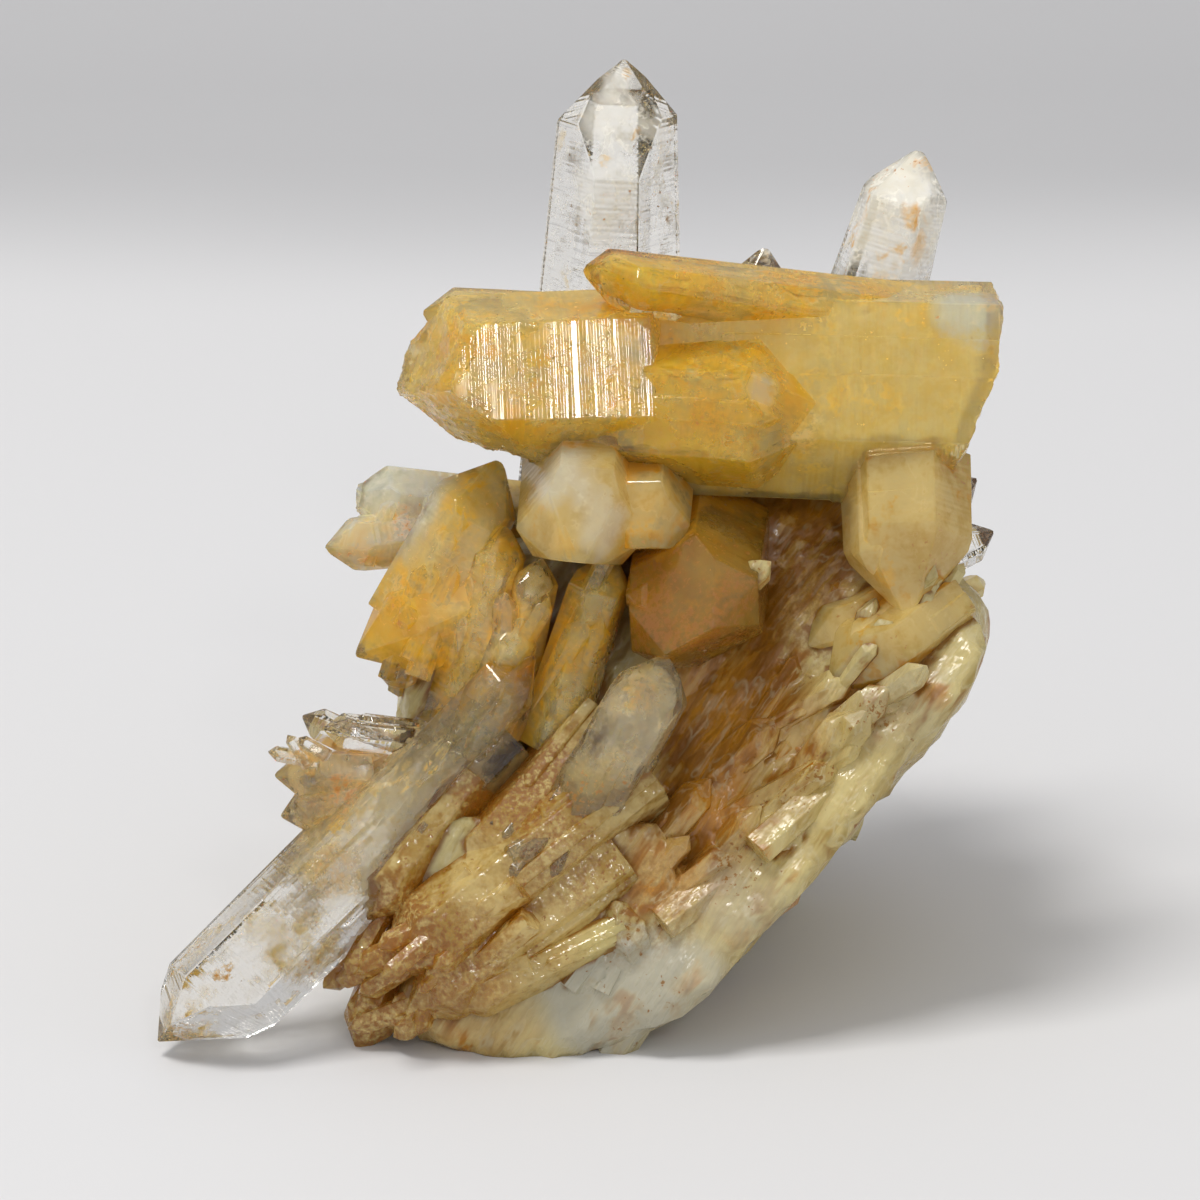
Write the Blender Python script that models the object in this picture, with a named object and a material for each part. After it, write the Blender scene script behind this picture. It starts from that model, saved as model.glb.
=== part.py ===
"""Mango quartz cluster: honey, milky and clear quartz crystals grown together on a milky matrix.

The specimen is one piece, so it is one object. Its origin is on the table, in the middle of the
broken underside that it rests on. +Z is up and the front, with the low clear crystals, faces -Y.
"""

import math
import random
from typing import NamedTuple

import bmesh
import bpy
from mathutils import Matrix, Vector, noise

# Every size below is in millimetres. The finished mesh is scaled to metres.
MM = 0.001
SMALLEST = 0.05

# Places are read off the front of the specimen, as a person sees it who looks down at it a little:
# so far across, up and away from the middle of that view.
LOOK_DOWN = math.radians(18)
LOOK_FROM = 480
MIDDLE_BACK = -8.0
MIDDLE_HEIGHT = 42.5
ACROSS = Vector((1, 0, 0))
UPWARD = Vector((0, math.sin(LOOK_DOWN), math.cos(LOOK_DOWN)))
AWAY = Vector((0, math.cos(LOOK_DOWN), -math.sin(LOOK_DOWN)))
MIDDLE = Vector((0, MIDDLE_BACK, MIDDLE_HEIGHT))
DOWN = Vector((0, 0, -1))

# Quartz crystals have six sides, and six end faces that lie this far off their length.
SIDES = 6
END_SLOPE = math.radians(38.2)
SIDE_REACH = math.cos(math.radians(30)) / 2


def spot(across, up, away):
    """The place in the world of a point given as it is seen from the front."""
    spread = 1 + away / LOOK_FROM
    return MIDDLE + (ACROSS * across + UPWARD * up) * spread + AWAY * away


class Crystal(NamedTuple):
    """One quartz crystal, from its buried foot to its highest point, places as seen from the front."""

    foot: tuple
    tip: tuple
    wide: float
    deep: float
    roll: float = 0.0
    drops: tuple = (0, 0, 0, 0, 0, 0)
    taper: float = 1.0
    breaks: tuple = ()


class Boulder(NamedTuple):
    """One lump of milky matrix: the fracture planes round its middle, each a facing and a distance."""

    middle: tuple
    planes: tuple
    rough: float
    seed: int


# The two clear spires that rise behind the rest, and the top of a smaller one.
SPIRES = (
    Crystal((0.1, 10.0, 42), (1.9, 51.4, 30), 14.4, 15.8, 2, (3.5, 0.5, 0.5, 0.4, 1.6, 1.2), 3.4),
    Crystal((21.2, 12.0, 38), (30.3, 42.8, 30), 10.6, 8.6, -14, (1.8, 0.0, 0.4, 0.6, 0.2, 1.2), 3.4),
    Crystal((12.0, 12.0, 38), (15.7, 33.5, 32), 6.4, 6.8, 8, (1.2, 0.6, 0, 0.4, 0.2, 0.9), 2.0),
)

# The honey crystals that lie across the top. Two end in a break.
TOP_CRYSTALS = (
    Crystal((34.0, 25.8, 10.5), (-1.4, 30.9, -2), 7.0, 8.0, 6, (0.8, 0.2, 0, 0, 1.0, 2.6), 1.6),
    Crystal(
        (18.0, 21.8, 6), (-26.0, 20.4, 0.6), 17.0, 13.0, 5, (1.0, 0.4, 0, 0, 0, 0.6), 0.4,
        (
            ((4.7, 22, -4), (1, 0.08, -0.25)),
            ((-18.4, 22, 7), (-0.95, 0.30, -0.45)),
            ((-16.2, 18.6, 4), (-0.60, -0.80, -0.25)),
            ((-11.0, 15.8, 2), (-0.42, -0.91, -0.20)),
        ),
    ),
    Crystal((15.0, 25.0, 8), (-16.9, 27.0, 5), 6.6, 7.0, 10, (0.8, 0.2, 0, 0, 0.4, 1.6), 0.5),
    Crystal((-6.0, 19.4, 6), (23.0, 17.3, 0.8), 15.0, 12.0, 8, (1.6, 0.4, 0, 0, 0.2, 0.8), 0.3),
    Crystal(
        (44.0, 19.4, 8.5), (-5.0, 20.8, 7), 22.4, 15.0, 12, (2, 1, 0, 0, 0, 2), 0.3,
        (((38.0, 27, 3), (1.0, -0.08, 0.05)), ((35.0, 16, 3), (0.92, -0.38, 0.1))),
    ),
)

# The pale blunt crystals that point at the viewer under the top ones.
BLUNT_CRYSTALS = (
    Crystal((-1.0, 14.4, 9), (-2.2, 3.0, -5), 12.6, 13.0, 0, (1.0, 0.2, 0, 2.8, 0.3, 0.6), 1.0),
    Crystal((5.0, 14.0, 10), (4.2, 4.6, -3), 8.6, 9.0, 8, (1, 0, 0, 2, 0, 1), 1.0),
    Crystal((10.0, 5.4, 12), (8.6, -4.0, -5), 14.4, 12.8, -18, (0.6, 3.4, 0.4, 0.2, 3.6, 0.8), 1.0),
)

# The upright yellow columns left of the middle, and the pale ones further left.
COLUMN_CRYSTALS = (
    Crystal((-18.2, -2.4, 8), (-9.6, 13.2, 6), 8.8, 8.0, 12, (2.0, 0.6, 0, 0, 0.4, 1.2), 1.0),
    Crystal((-10.0, 1.0, 9), (-23.2, -5.2, 5), 9.8, 9.0, 20, (1.6, 0.8, 0.4, 0, 0.6, 1.6), 0.8),
    Crystal((-9.0, -2.0, 9), (-21.6, -0.6, 7), 6.0, 6.0, 5, (0.8, 0.4, 0.2, 0, 0.3, 0.8), 0.8),
    Crystal((-15.0, -16.0, 8), (-9.0, 7.0, 4), 6.0, 6.4, 10, (1.2, 0, 0, 0, 0, 0.8), 1.6),
    Crystal((-10.0, -14.0, 8), (-5.6, 4.0, 3), 5.0, 5.4, -10, (0.8, 0, 0, 0, 0, 0.5), 1.4),
    Crystal((-12.0, -14.0, 6), (-7.4, -1.8, 1), 4.8, 5.0, 6, (0.9, 0.2, 0, 0, 0, 0.2), 1.2),
    Crystal((-5.0, -14.0, 6), (1.0, 4.6, 3), 6.4, 6.0, 14, (0.8, 0, 0, 0, 0, 1.2), 1.2),
    Crystal(
        (-5.0, 7.4, 18), (-24.4, 9.8, 13), 7.6, 7.0, -12, (0.8, 0.2, 0, 0, 0, 0.8), 0.6,
        (((-22.9, 10, 13), (-1, 0.15, 0)),),
    ),
    Crystal((-12.0, 6.5, 16), (-26.2, 5.0, 11), 5.8, 6.0, 16, (0.8, 0.4, 0, 0, 0, 0.8), 0.8),
)

# The long crystals that run from the low left front up to the middle.
FRONT_CRYSTALS = (
    Crystal((-10.0, -12.0, 7), (-41.4, -42.8, 0.6), 11.8, 8.8, 6, (3.0, 2.2, 0, 0, 2.6, 5.0), 0.6),
    Crystal((-14.0, -16.0, 4), (-36.0, -36.4, 1), 6.6, 6.0, -8, (1.6, 1.2, 0, 0, 0, 0.8), 0.6),
    Crystal((-22.0, -22.0, 4), (-6.1, -5.4, 1), 6.8, 7.4, 24, (1.2, 0.8, 0, 0, 0.4, 0.6), 0.6),
    Crystal((-12.0, -17.0, 4), (-22.4, -30.4, 1), 5.6, 6.4, 8, (0.8, 0.4, 0, 0, 0, 0.6), 0.4),
    Crystal((-17.0, -28.0, 9), (-23.1, -43.0, 5), 5.6, 6.0, 14, (0.8, 0.4, 0, 0, 0, 0.6), 0.4),
    Crystal((4.0, -16.0, 4), (-20.4, -35.5, 0), 9.5, 8.6, -6, (2.0, 1.6, 0, 0, 0, 1.2), 0.3),
    Crystal((2.0, -24.5, 3.5), (-18.5, -39.5, 1), 7.5, 7.0, 8, (1.2, 0.8, 0, 0, 0, 1.0), 0.4),
    Crystal((2.0, -31.0, 3), (-14.0, -38.8, 0.5), 5.0, 5.0, 0, (0.8, 0.4, 0, 0, 0, 0.4), 0.6),
    Crystal((-2.6, -22.0, 3), (6.4, -5.8, -3), 8.0, 6.6, 18, (2.6, 0.2, 0, 0, 0.2, 1.4), 0.8),
    Crystal((0.0, -11.0, 6), (-13.5, -27.5, 1.5), 7.0, 7.0, 12, (1.4, 0.8, 0, 0, 0, 0.8), 0.4),
)

# The small crystals and knobs on the far left.
KNOB_CRYSTALS = (
    Crystal((-15.0, -13.6, 6), (-26.4, -12.2, 3), 3.6, 3.6, 10, (0.4, 0.2, 0, 0, 0, 0.3), 0.5),
    Crystal((-22.0, -16.8, 6), (-31.0, -16.6, 4), 5.4, 5.0, 24, (0.6, 0.2, 0, 0, 0, 0.3), 0.5),
    Crystal((-22.0, -18.6, 6), (-30.4, -20.6, 4), 4.6, 4.6, 0, (0.6, 0.2, 0, 0, 0, 0.3), 0.5),
    Crystal((-20.0, -15.0, 7), (-28.4, -11.0, 5), 3.4, 3.4, 14, (0.3, 0.2, 0, 0, 0, 0.3), 0.5),
)

# The pale crystals on the right, between the top ones and the matrix.
RIGHT_CRYSTALS = (
    Crystal((29.0, 13.5, 6), (29.6, -1.8, 2), 12.6, 11.0, 8, (2.0, 1.0, 0, 0, 0.6, 1.6), 0.8),
    Crystal((33.0, 0.0, 8), (21.8, -8.6, 3), 9.0, 9.6, -6, (1.4, 0.6, 0, 0, 0.6, 1.0), 0.8),
    Crystal((29.0, 1.0, 10), (20.0, -4.4, 5), 6.0, 7.0, 10, (1.2, 0.8, 0, 0, 0.6, 1.0), 0.8),
    Crystal((24.0, 0.0, 30), (37.6, 6.6, 32), 4.8, 4.6, 12, (0.5, 0.2, 0, 0, 0, 0.4), 1.0),
    Crystal((24.0, 4.0, 30), (36.0, 11.6, 31), 4.4, 4.2, 0, (0.5, 0.2, 0, 0, 0, 0.4), 1.0),
)

# The low crystals that lie along the front of the matrix, half sunk in it.
RIDGE_CRYSTALS = (
    Crystal((9.0, -27.0, 5.6), (15.4, -19.6, 2.0), 3.6, 3.6, 12, (0.5, 0.2, 0, 0, 0, 0.4), 0.6),
    Crystal((21.0, -14.0, 5.0), (27.6, -8.4, 0.6), 3.8, 3.6, 25, (0.5, 0.2, 0, 0, 0, 0.4), 0.6),
    Crystal((14.0, -22.0, 5.0), (23.0, -15.0, 1.2), 3.6, 3.4, 0, (0.5, 0.2, 0, 0, 0, 0.4), 0.4),
    Crystal((4.0, -36.0, 6.0), (1.4, -28.8, 0.2), 5.4, 5.0, 18, (0.9, 0.2, 0, 0, 0, 0.6), 0.8),
    Crystal((0.0, -30.0, 5.0), (10.6, -17.0, 4.2), 4.2, 4.4, 16, (0.6, 0.2, 0, 0, 0, 0.4), 0.4),
    Crystal((3.0, -31.0, 4.4), (13.2, -23.4, 2.6), 3.6, 3.8, -12, (0.6, 0.2, 0, 0, 0, 0.4), 0.4),
    Crystal((8.0, -19.0, 8.0), (17.4, -11.4, 4.4), 4.6, 4.2, 20, (0.6, 0.2, 0, 0, 0, 0.4), 0.4),
    Crystal((16.0, -12.0, 7.0), (24.4, -7.2, 3.0), 3.8, 3.8, 8, (0.6, 0.2, 0, 0, 0, 0.4), 0.4),
)

# The crystals on the back, which no front view shows.
BACK_CRYSTALS = (
    Crystal((10.0, 6.0, 32), (6.0, 24.0, 53), 9.0, 9.4, 8, (1.2, 0.6, 0, 0.4, 2.2, 0.9), 1.4),
    Crystal((16.0, 4.0, 34), (24.0, 21.0, 51), 8.4, 7.6, 20, (0.6, 0.2, 0.8, 1.4, 0.2, 0.4), 1.2),
    Crystal((6.0, 0.0, 32), (-4.0, 18.0, 49), 7.6, 8.2, -8, (0.4, 1.6, 0.2, 0.6, 0.2, 1.0), 1.2),
    Crystal((14.0, -8.0, 34), (27.0, 2.0, 54), 8.6, 8.0, 14, (0.9, 0.2, 1.4, 0.6, 0.2, 0.6), 1.0),
    Crystal((4.0, -12.0, 32), (-11.0, -4.0, 49), 7.4, 7.0, 4, (0.4, 0.8, 0.2, 1.2, 0.4, 0.2), 1.0),
    Crystal((8.0, -16.0, 36), (3.0, -14.0, 58), 9.4, 8.8, -12, (0.6, 0.4, 1.8, 0.2, 0.4, 0.8), 1.0),
    Crystal((14.0, -14.0, 36), (20.0, -13.0, 55), 7.0, 7.4, 9, (0.4, 0.6, 0.2, 1.0, 0.2, 0.6), 1.0),
    Crystal((0.0, -20.0, 32), (-12.0, -20.0, 48), 7.0, 7.2, 22, (0.8, 0.2, 0.6, 0.4, 0.8, 0.2), 1.0),
    Crystal((10.0, -4.0, 34), (12.0, 4.0, 59), 8.0, 8.6, 0, (0.4, 0.8, 0.2, 0.9, 0.2, 1.6), 1.2),
    Crystal((20.0, 8.0, 32), (30.0, 19.0, 45), 6.6, 7.0, -16, (0.4, 0.2, 0.9, 0.2, 0.6, 0.2), 1.0),
)

ALL_CRYSTALS = (
    SPIRES + TOP_CRYSTALS + BLUNT_CRYSTALS + COLUMN_CRYSTALS + FRONT_CRYSTALS
    + KNOB_CRYSTALS + RIGHT_CRYSTALS + RIDGE_CRYSTALS + BACK_CRYSTALS
)

# The matrix: a slab that leans to the right, the heart that the front crystals grow from, and
# the lump behind the top ones.
MATRIX = (
    Boulder(
        (14.0, -14.0, 22.0),
        (
            ((0.76, -0.65, 0.04), 12.2),
            ((0.46, -0.89, 0.04), 19.0),
            ((1.00, -0.10, 0.05), 21.6),
            ((0.85, 0.53, 0.10), 25.4),
            ((0.30, 0.95, 0.00), 23.0),
            ((0.00, -0.95, 0.31), 23.4),
            ((-0.28, 0.30, -0.91), 15.6),
            ((0.10, 0.10, 0.98), 22.0),
            ((-0.60, 0.75, 0.00), 13.0),
            ((-0.95, 0.00, 0.10), 23.0),
        ),
        0.07, 3,
    ),
    Boulder(
        (0.0, -10.0, 21.0),
        (
            ((0.00, 0.97, -0.20), 18.0),
            ((-0.70, 0.70, 0.00), 19.0),
            ((-0.95, 0.10, 0.10), 18.0),
            ((0.00, 0.00, -1.00), 13.0),
            ((0.00, 0.10, 1.00), 20.0),
            ((1.00, 0.10, 0.00), 14.0),
            ((0.70, -0.70, 0.00), 22.0),
            ((-0.70, -0.72, 0.00), 26.0),
            ((0.00, -0.95, 0.31), 26.0),
        ),
        0.10, 8,
    ),
    Boulder(
        (13.0, 4.0, 26.0),
        (
            ((-1.00, 0.00, 0.00), 15.0),
            ((1.00, -0.10, 0.00), 16.5),
            ((0.00, 1.00, 0.10), 13.0),
            ((0.00, 0.20, -1.00), 15.0),
            ((0.00, 0.00, 1.00), 16.0),
            ((0.70, 0.70, 0.00), 18.0),
            ((0.00, -1.00, 0.20), 14.0),
            ((0.76, -0.65, 0.00), 13.0),
        ),
        0.14, 21,
    ),
    Boulder(
        (-5.0, -33.0, 12.0),
        (
            ((0.00, -0.10, -1.00), 10.4),
            ((-1.00, 0.00, 0.00), 13.4),
            ((-0.35, -0.94, 0.00), 12.2),
            ((0.46, -0.89, 0.00), 10.9),
            ((1.00, 0.20, 0.00), 13.0),
            ((0.00, 1.00, 0.20), 10.0),
            ((0.00, 0.00, 1.00), 15.0),
            ((0.00, -0.95, 0.31), 14.0),
        ),
        0.07, 33,
    ),
)
BOULDER_FINENESS = 3
EDGE_SHARPNESS = 14


# The druse: small crystals strewn over the backs of the lumps. Each patch names its lump, the way
# that it faces, how far it spreads and how many crystals it has.
DRUSE_SEED = 11
DRUSE_WIDE = (2.2, 4.6)
DRUSE_LONG = (1.6, 2.8)
DRUSE_TILT = 0.35
DRUSE_PATCHES = (
    (0, (0.0, 0.0, 1.0), 0.60, 16),
    (1, (-0.1, 0.0, 1.0), 0.75, 10),
    (2, (0.0, 1.0, 0.6), 0.55, 18),
    (2, (0.0, 0.0, 1.0), 0.60, 8),
)


def reach(boulder, outward):
    """How far a lump's surface lies from its middle in one direction: the nearest plane, a little rounded."""
    nearness = 0
    for facing, distance in boulder.planes:
        slant = max(Vector(facing).normalized().dot(outward), 0)
        nearness += (slant / distance) ** EDGE_SHARPNESS
    return nearness ** (-1 / EDGE_SHARPNESS)


def druse(boulder, facing, spread, count, chance):
    """Small crystals that stand on one side of a lump, each nearly square to it."""
    grown = []
    for _ in range(count):
        aside = Vector([chance.uniform(-spread, spread) for _ in range(3)])
        outward = (Vector(facing) + aside).normalized()
        wide = chance.uniform(*DRUSE_WIDE)
        foot = Vector(boulder.middle) + outward * (reach(boulder, outward) - wide)
        tilt = Vector([chance.uniform(-DRUSE_TILT, DRUSE_TILT) for _ in range(3)])
        tip = foot + (outward + tilt) * wide * chance.uniform(*DRUSE_LONG)
        drops = tuple(chance.uniform(0, wide * 0.25) for _ in range(SIDES))
        deep = wide * chance.uniform(0.8, 1.05)
        if spot(*foot).z > wide and spot(*tip).z > wide:
            grown.append(Crystal(tuple(foot), tuple(tip), wide, deep, chance.uniform(0, 60), drops))
    return grown


def cut(bm, point, facing):
    """Cuts off what lies beyond a plane, and closes the cut."""
    everything = bm.verts[:] + bm.edges[:] + bm.faces[:]
    made = bmesh.ops.bisect_plane(
        bm, geom=everything, plane_co=point, plane_no=facing, clear_outer=True
    )
    rim = [edge for edge in made["geom_cut"] if isinstance(edge, bmesh.types.BMEdge)]
    if rim:
        bmesh.ops.contextual_create(bm, geom=rim)


def round_about(step, roll):
    """The direction square to a crystal's length that one of its six sides faces."""
    angle = math.radians(360 / SIDES * step + roll)
    return Vector((math.cos(angle), math.sin(angle), 0))


def crystal_shape(crystal):
    """A six-sided block, cut to its sides, its end faces and its breaks."""
    foot, tip = spot(*crystal.foot), spot(*crystal.tip)
    length = (tip - foot).length
    along = (tip - foot).normalized()
    front = (-AWAY - along * along.dot(-AWAY)).normalized()
    upright = Matrix((front, along.cross(front), along)).transposed().to_4x4()
    reach = length + crystal.wide + crystal.deep

    bm = bmesh.new()
    bmesh.ops.create_cube(bm, size=2 * reach, matrix=Matrix.Translation((0, 0, reach)))
    taper = math.radians(crystal.taper)
    for step in range(SIDES):
        facing = round_about(step, crystal.roll)
        half = crystal.deep / 2 if step % 3 == 0 else crystal.wide * SIDE_REACH
        leaning = facing * math.cos(taper) + Vector((0, 0, math.sin(taper)))
        cut(bm, facing * half + Vector((0, 0, length / 2)), leaning)
    for step, drop in enumerate(crystal.drops):
        facing = round_about(step, crystal.roll)
        sloping = facing * math.cos(END_SLOPE) + Vector((0, 0, math.sin(END_SLOPE)))
        cut(bm, Vector((0, 0, length - drop)), sloping)
    lacking = length - max(vert.co.z for vert in bm.verts)
    for vert in bm.verts:
        if vert.co.z > length / 4:
            vert.co.z += lacking
    bm.transform(Matrix.Translation(foot) @ upright)
    for place, facing in crystal.breaks:
        across, up, away = facing
        cut(bm, spot(*place), ACROSS * across + UPWARD * up + AWAY * away)
    cut(bm, Vector(), DOWN)
    bmesh.ops.remove_doubles(bm, verts=bm.verts[:], dist=SMALLEST)
    return bm


def boulder_shape(boulder):
    """A ball pushed in to the nearest of its fracture planes, then roughened."""
    bm = bmesh.new()
    bmesh.ops.create_icosphere(bm, subdivisions=BOULDER_FINENESS, radius=1)
    offset = Vector((boulder.seed, 0, 0))
    for vert in bm.verts:
        outward = vert.co.normalized()
        radius = reach(boulder, outward)
        place = Vector(boulder.middle) + outward * radius
        lumps = noise.fractal(place * 0.11 + offset, 0.9, 2.1, 4)
        place += outward * radius * boulder.rough * lumps
        vert.co = spot(*place)
    cut(bm, Vector(), DOWN)
    bmesh.ops.remove_doubles(bm, verts=bm.verts[:], dist=SMALLEST)
    return bm


def make_object(name, bm, collection, material):
    """Turns a shape in millimetres into an object in metres."""
    bmesh.ops.recalc_face_normals(bm, faces=bm.faces[:])
    bm.transform(Matrix.Scale(MM, 4))
    mesh = bpy.data.meshes.new(name)
    bm.to_mesh(mesh)
    bm.free()
    mesh.materials.append(material)
    made = bpy.data.objects.new(name, mesh)
    collection.objects.link(made)
    return made


def quartz_material():
    """Translucent honey quartz."""
    material = bpy.data.materials.new("mango_quartz")
    material.use_nodes = True
    shader = material.node_tree.nodes["Principled BSDF"]
    shader.inputs["Base Color"].default_value = (0.78, 0.62, 0.34, 1)
    shader.inputs["Roughness"].default_value = 0.18
    shader.inputs["Metallic"].default_value = 0.0
    shader.inputs["IOR"].default_value = 1.544
    shader.inputs["Transmission Weight"].default_value = 0.4
    return material


def main():
    for old in list(bpy.data.objects):
        bpy.data.objects.remove(old)
    scene = bpy.context.scene.collection
    shown = bpy.data.collections.new("mango_quartz_cluster")
    grown = bpy.data.collections.new("grown_on")
    scene.children.link(shown)
    scene.children.link(grown)
    quartz = quartz_material()

    cluster = make_object("quartz_cluster", boulder_shape(MATRIX[0]), shown, quartz)
    for number, boulder in enumerate(MATRIX[1:]):
        make_object(f"lump_{number}", boulder_shape(boulder), grown, quartz)
    chance = random.Random(DRUSE_SEED)
    crystals = list(ALL_CRYSTALS)
    for lump, facing, spread, count in DRUSE_PATCHES:
        crystals += druse(MATRIX[lump], facing, spread, count, chance)
    for number, crystal in enumerate(crystals):
        make_object(f"crystal_{number}", crystal_shape(crystal), grown, quartz)
    for helper in grown.objects:
        helper.hide_render = True
        helper.display_type = "WIRE"

    union = cluster.modifiers.new("grown together", "BOOLEAN")
    union.operation = "UNION"
    union.operand_type = "COLLECTION"
    union.collection = grown


main()
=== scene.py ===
"""Looks of the mango quartz cluster: honey, milky and clear crystals grown together on a milky matrix.

Every piece stands for a part of the one solid that the frame holds, has its shape, and adds the bevelled
edges, the growth ledges, the broken ends and the clouds, veils and rust that quartz of this kind shows.
"""

import logging
import math
import random
from dataclasses import dataclass, replace
from enum import Enum
from typing import Any, Iterable, Optional, Sequence

import bmesh
import bpy
from mathutils import Matrix, Vector, noise
from mathutils.bvhtree import BVHTree


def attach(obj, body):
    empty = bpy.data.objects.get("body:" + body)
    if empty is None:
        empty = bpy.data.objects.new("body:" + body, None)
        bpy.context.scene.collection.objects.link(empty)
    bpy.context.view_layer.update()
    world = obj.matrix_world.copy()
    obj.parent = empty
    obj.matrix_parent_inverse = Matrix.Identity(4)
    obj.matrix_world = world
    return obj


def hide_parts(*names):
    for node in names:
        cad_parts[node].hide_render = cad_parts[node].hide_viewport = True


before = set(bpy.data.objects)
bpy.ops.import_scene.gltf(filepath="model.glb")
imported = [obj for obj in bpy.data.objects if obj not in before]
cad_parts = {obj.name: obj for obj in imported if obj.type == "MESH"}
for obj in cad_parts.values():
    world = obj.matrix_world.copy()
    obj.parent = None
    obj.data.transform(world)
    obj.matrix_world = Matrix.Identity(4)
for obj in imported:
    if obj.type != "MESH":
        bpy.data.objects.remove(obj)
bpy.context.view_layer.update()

BODY = "root"
NODE = "quartz_cluster"
LOG = logging.getLogger("mango_quartz")

Triple = tuple[float, float, float]
Drops = tuple[float, float, float, float, float, float]

# Sizes are in millimetres until a mesh is finished, and metres from then on.
MM = 0.001
TINY = 0.05

# Places are read off the front of the specimen, as a person sees it who looks down at it a little:
# so far across, up and away from the middle of that view.
LOOK_DOWN = math.radians(18)
LOOK_FROM = 480.0
ACROSS = Vector((1, 0, 0))
UPWARD = Vector((0, math.sin(LOOK_DOWN), math.cos(LOOK_DOWN)))
AWAY = Vector((0, math.cos(LOOK_DOWN), -math.sin(LOOK_DOWN)))
MIDDLE = Vector((0, -8.0, 42.5))
VIEW_WIDE = 114.2857
PHOTO_SIDE = 1200
PER_MM = PHOTO_SIDE / VIEW_WIDE

# Quartz crystals have six sides, and six end faces that lie this far off their length.
SIDES = 6
END_SLOPE = math.radians(38.2)
SIDE_REACH = math.cos(math.radians(30)) / 2
QUARTZ_IOR = 1.544

# What the pieces carry for their finish: how they are filled, the way of their growth lines, where they broke.
LOOK_LAYER = "look"
GRAIN_LAYER = "grain"
BROKEN_LAYER = "broken"


def spot(across: float, up: float, away: float) -> Vector:
    """The place in the world of a point given as it is seen from the front.

    Args:
        across: Distance to the right of the middle of the view.
        up: Distance above the middle of the view.
        away: Distance behind the middle of the view.

    Returns:
        The place in millimetres.
    """
    spread = 1 + away / LOOK_FROM
    return MIDDLE + (ACROSS * across + UPWARD * up) * spread + AWAY * away


def seen(place: Vector) -> Triple:
    """Where a point of the world lies as it is seen from the front: across, up and away."""
    reach = place - MIDDLE
    away = reach.dot(AWAY)
    spread = 1 + away / LOOK_FROM
    return reach.dot(ACROSS) / spread, reach.dot(UPWARD) / spread, away


class FrontFinder:
    """Finds the specimen's surface behind a point of the front view."""

    def __init__(self) -> None:
        """Reads the solid that the frame holds."""
        shape = bmesh.new()
        shape.from_mesh(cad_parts[NODE].data)
        bmesh.ops.scale(shape, vec=(1 / MM,) * 3, verts=shape.verts[:])
        self.tree = BVHTree.FromBMesh(shape)
        shape.free()
        self.eye = MIDDLE - AWAY * LOOK_FROM

    def hit(self, right: float, down: float) -> tuple[Vector, Vector]:
        """The surface behind a point of the view.

        Args:
            right: Distance from the view's left edge, in 1200ths of its width.
            down: Distance from the view's top edge, in the same measure.

        Returns:
            The place in millimetres, and the way that the surface faces there.
        """
        across = (right - PHOTO_SIDE / 2) / PER_MM
        up = (PHOTO_SIDE / 2 - down) / PER_MM
        ray = ACROSS * across + UPWARD * up + AWAY * LOOK_FROM
        place, facing, _, _ = self.tree.ray_cast(self.eye, ray.normalized())
        if place is None:
            return spot(across, up, 0), -AWAY
        return place, facing


@dataclass(frozen=True)
class Look:
    """How one crystal is filled: milky cloud, golden cloud and rust on its skin, each from 0 to 1."""

    milk: float = 0.5
    gold: float = 0.2
    rust: float = 0.1


@dataclass(frozen=True)
class Crystal:
    """One quartz crystal, from its buried foot to its highest point, places as seen from the front."""

    foot: Triple
    tip: Triple
    wide: float
    deep: float
    roll: float = 0.0
    drops: Drops = (0, 0, 0, 0, 0, 0)
    taper: float = 1.0
    breaks: tuple[tuple[Triple, Triple], ...] = ()
    look: Look = Look()
    ledges: int = 0
    steps: int = 2


@dataclass(frozen=True)
class Fringe:
    """Slim crystals strewn along a line of the front, nearly parallel, half sunk in what carries them."""

    start: tuple[float, float]
    end: tuple[float, float]
    spread: float
    along: Triple
    count: int
    wide: tuple[float, float]
    long: tuple[float, float]
    look: Look
    lift: tuple[float, float] = (0.1, 0.9)
    stray: float = 0.16
    seed: int = 1

    def crystals(self, finder: FrontFinder) -> tuple[Crystal, ...]:
        """Places the crystals.

        Args:
            finder: What finds the surface that they sit on.

        Returns:
            The crystals.
        """
        chance = random.Random(self.seed)
        start, end = Vector(self.start), Vector(self.end)
        aside = (end - start).orthogonal().normalized() * self.spread
        way = ACROSS * self.along[0] + UPWARD * self.along[1] + AWAY * self.along[2]
        grown = []
        for _ in range(self.count):
            mark = start.lerp(end, chance.random()) + aside * chance.uniform(-1, 1)
            place, facing = finder.hit(*mark)
            leaning = way + Vector([chance.uniform(-self.stray, self.stray) for _ in range(3)])
            leaning = (leaning - facing * leaning.dot(facing) * 0.85).normalized()
            wide, long = chance.uniform(*self.wide), chance.uniform(*self.long)
            place = place - facing * (wide * 0.5 - chance.uniform(*self.lift))
            half = leaning * long * 0.5
            drops = tuple(chance.uniform(0, wide * 0.3) for _ in range(SIDES))
            deep = wide * chance.uniform(0.8, 1.1)
            grown.append(Crystal(
                seen(place - half - facing * wide * 1.1), seen(place + half), wide, deep, chance.uniform(0, 60),
                drops, 0.5, look=self.look, steps=1,
            ))
        return tuple(grown)


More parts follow.
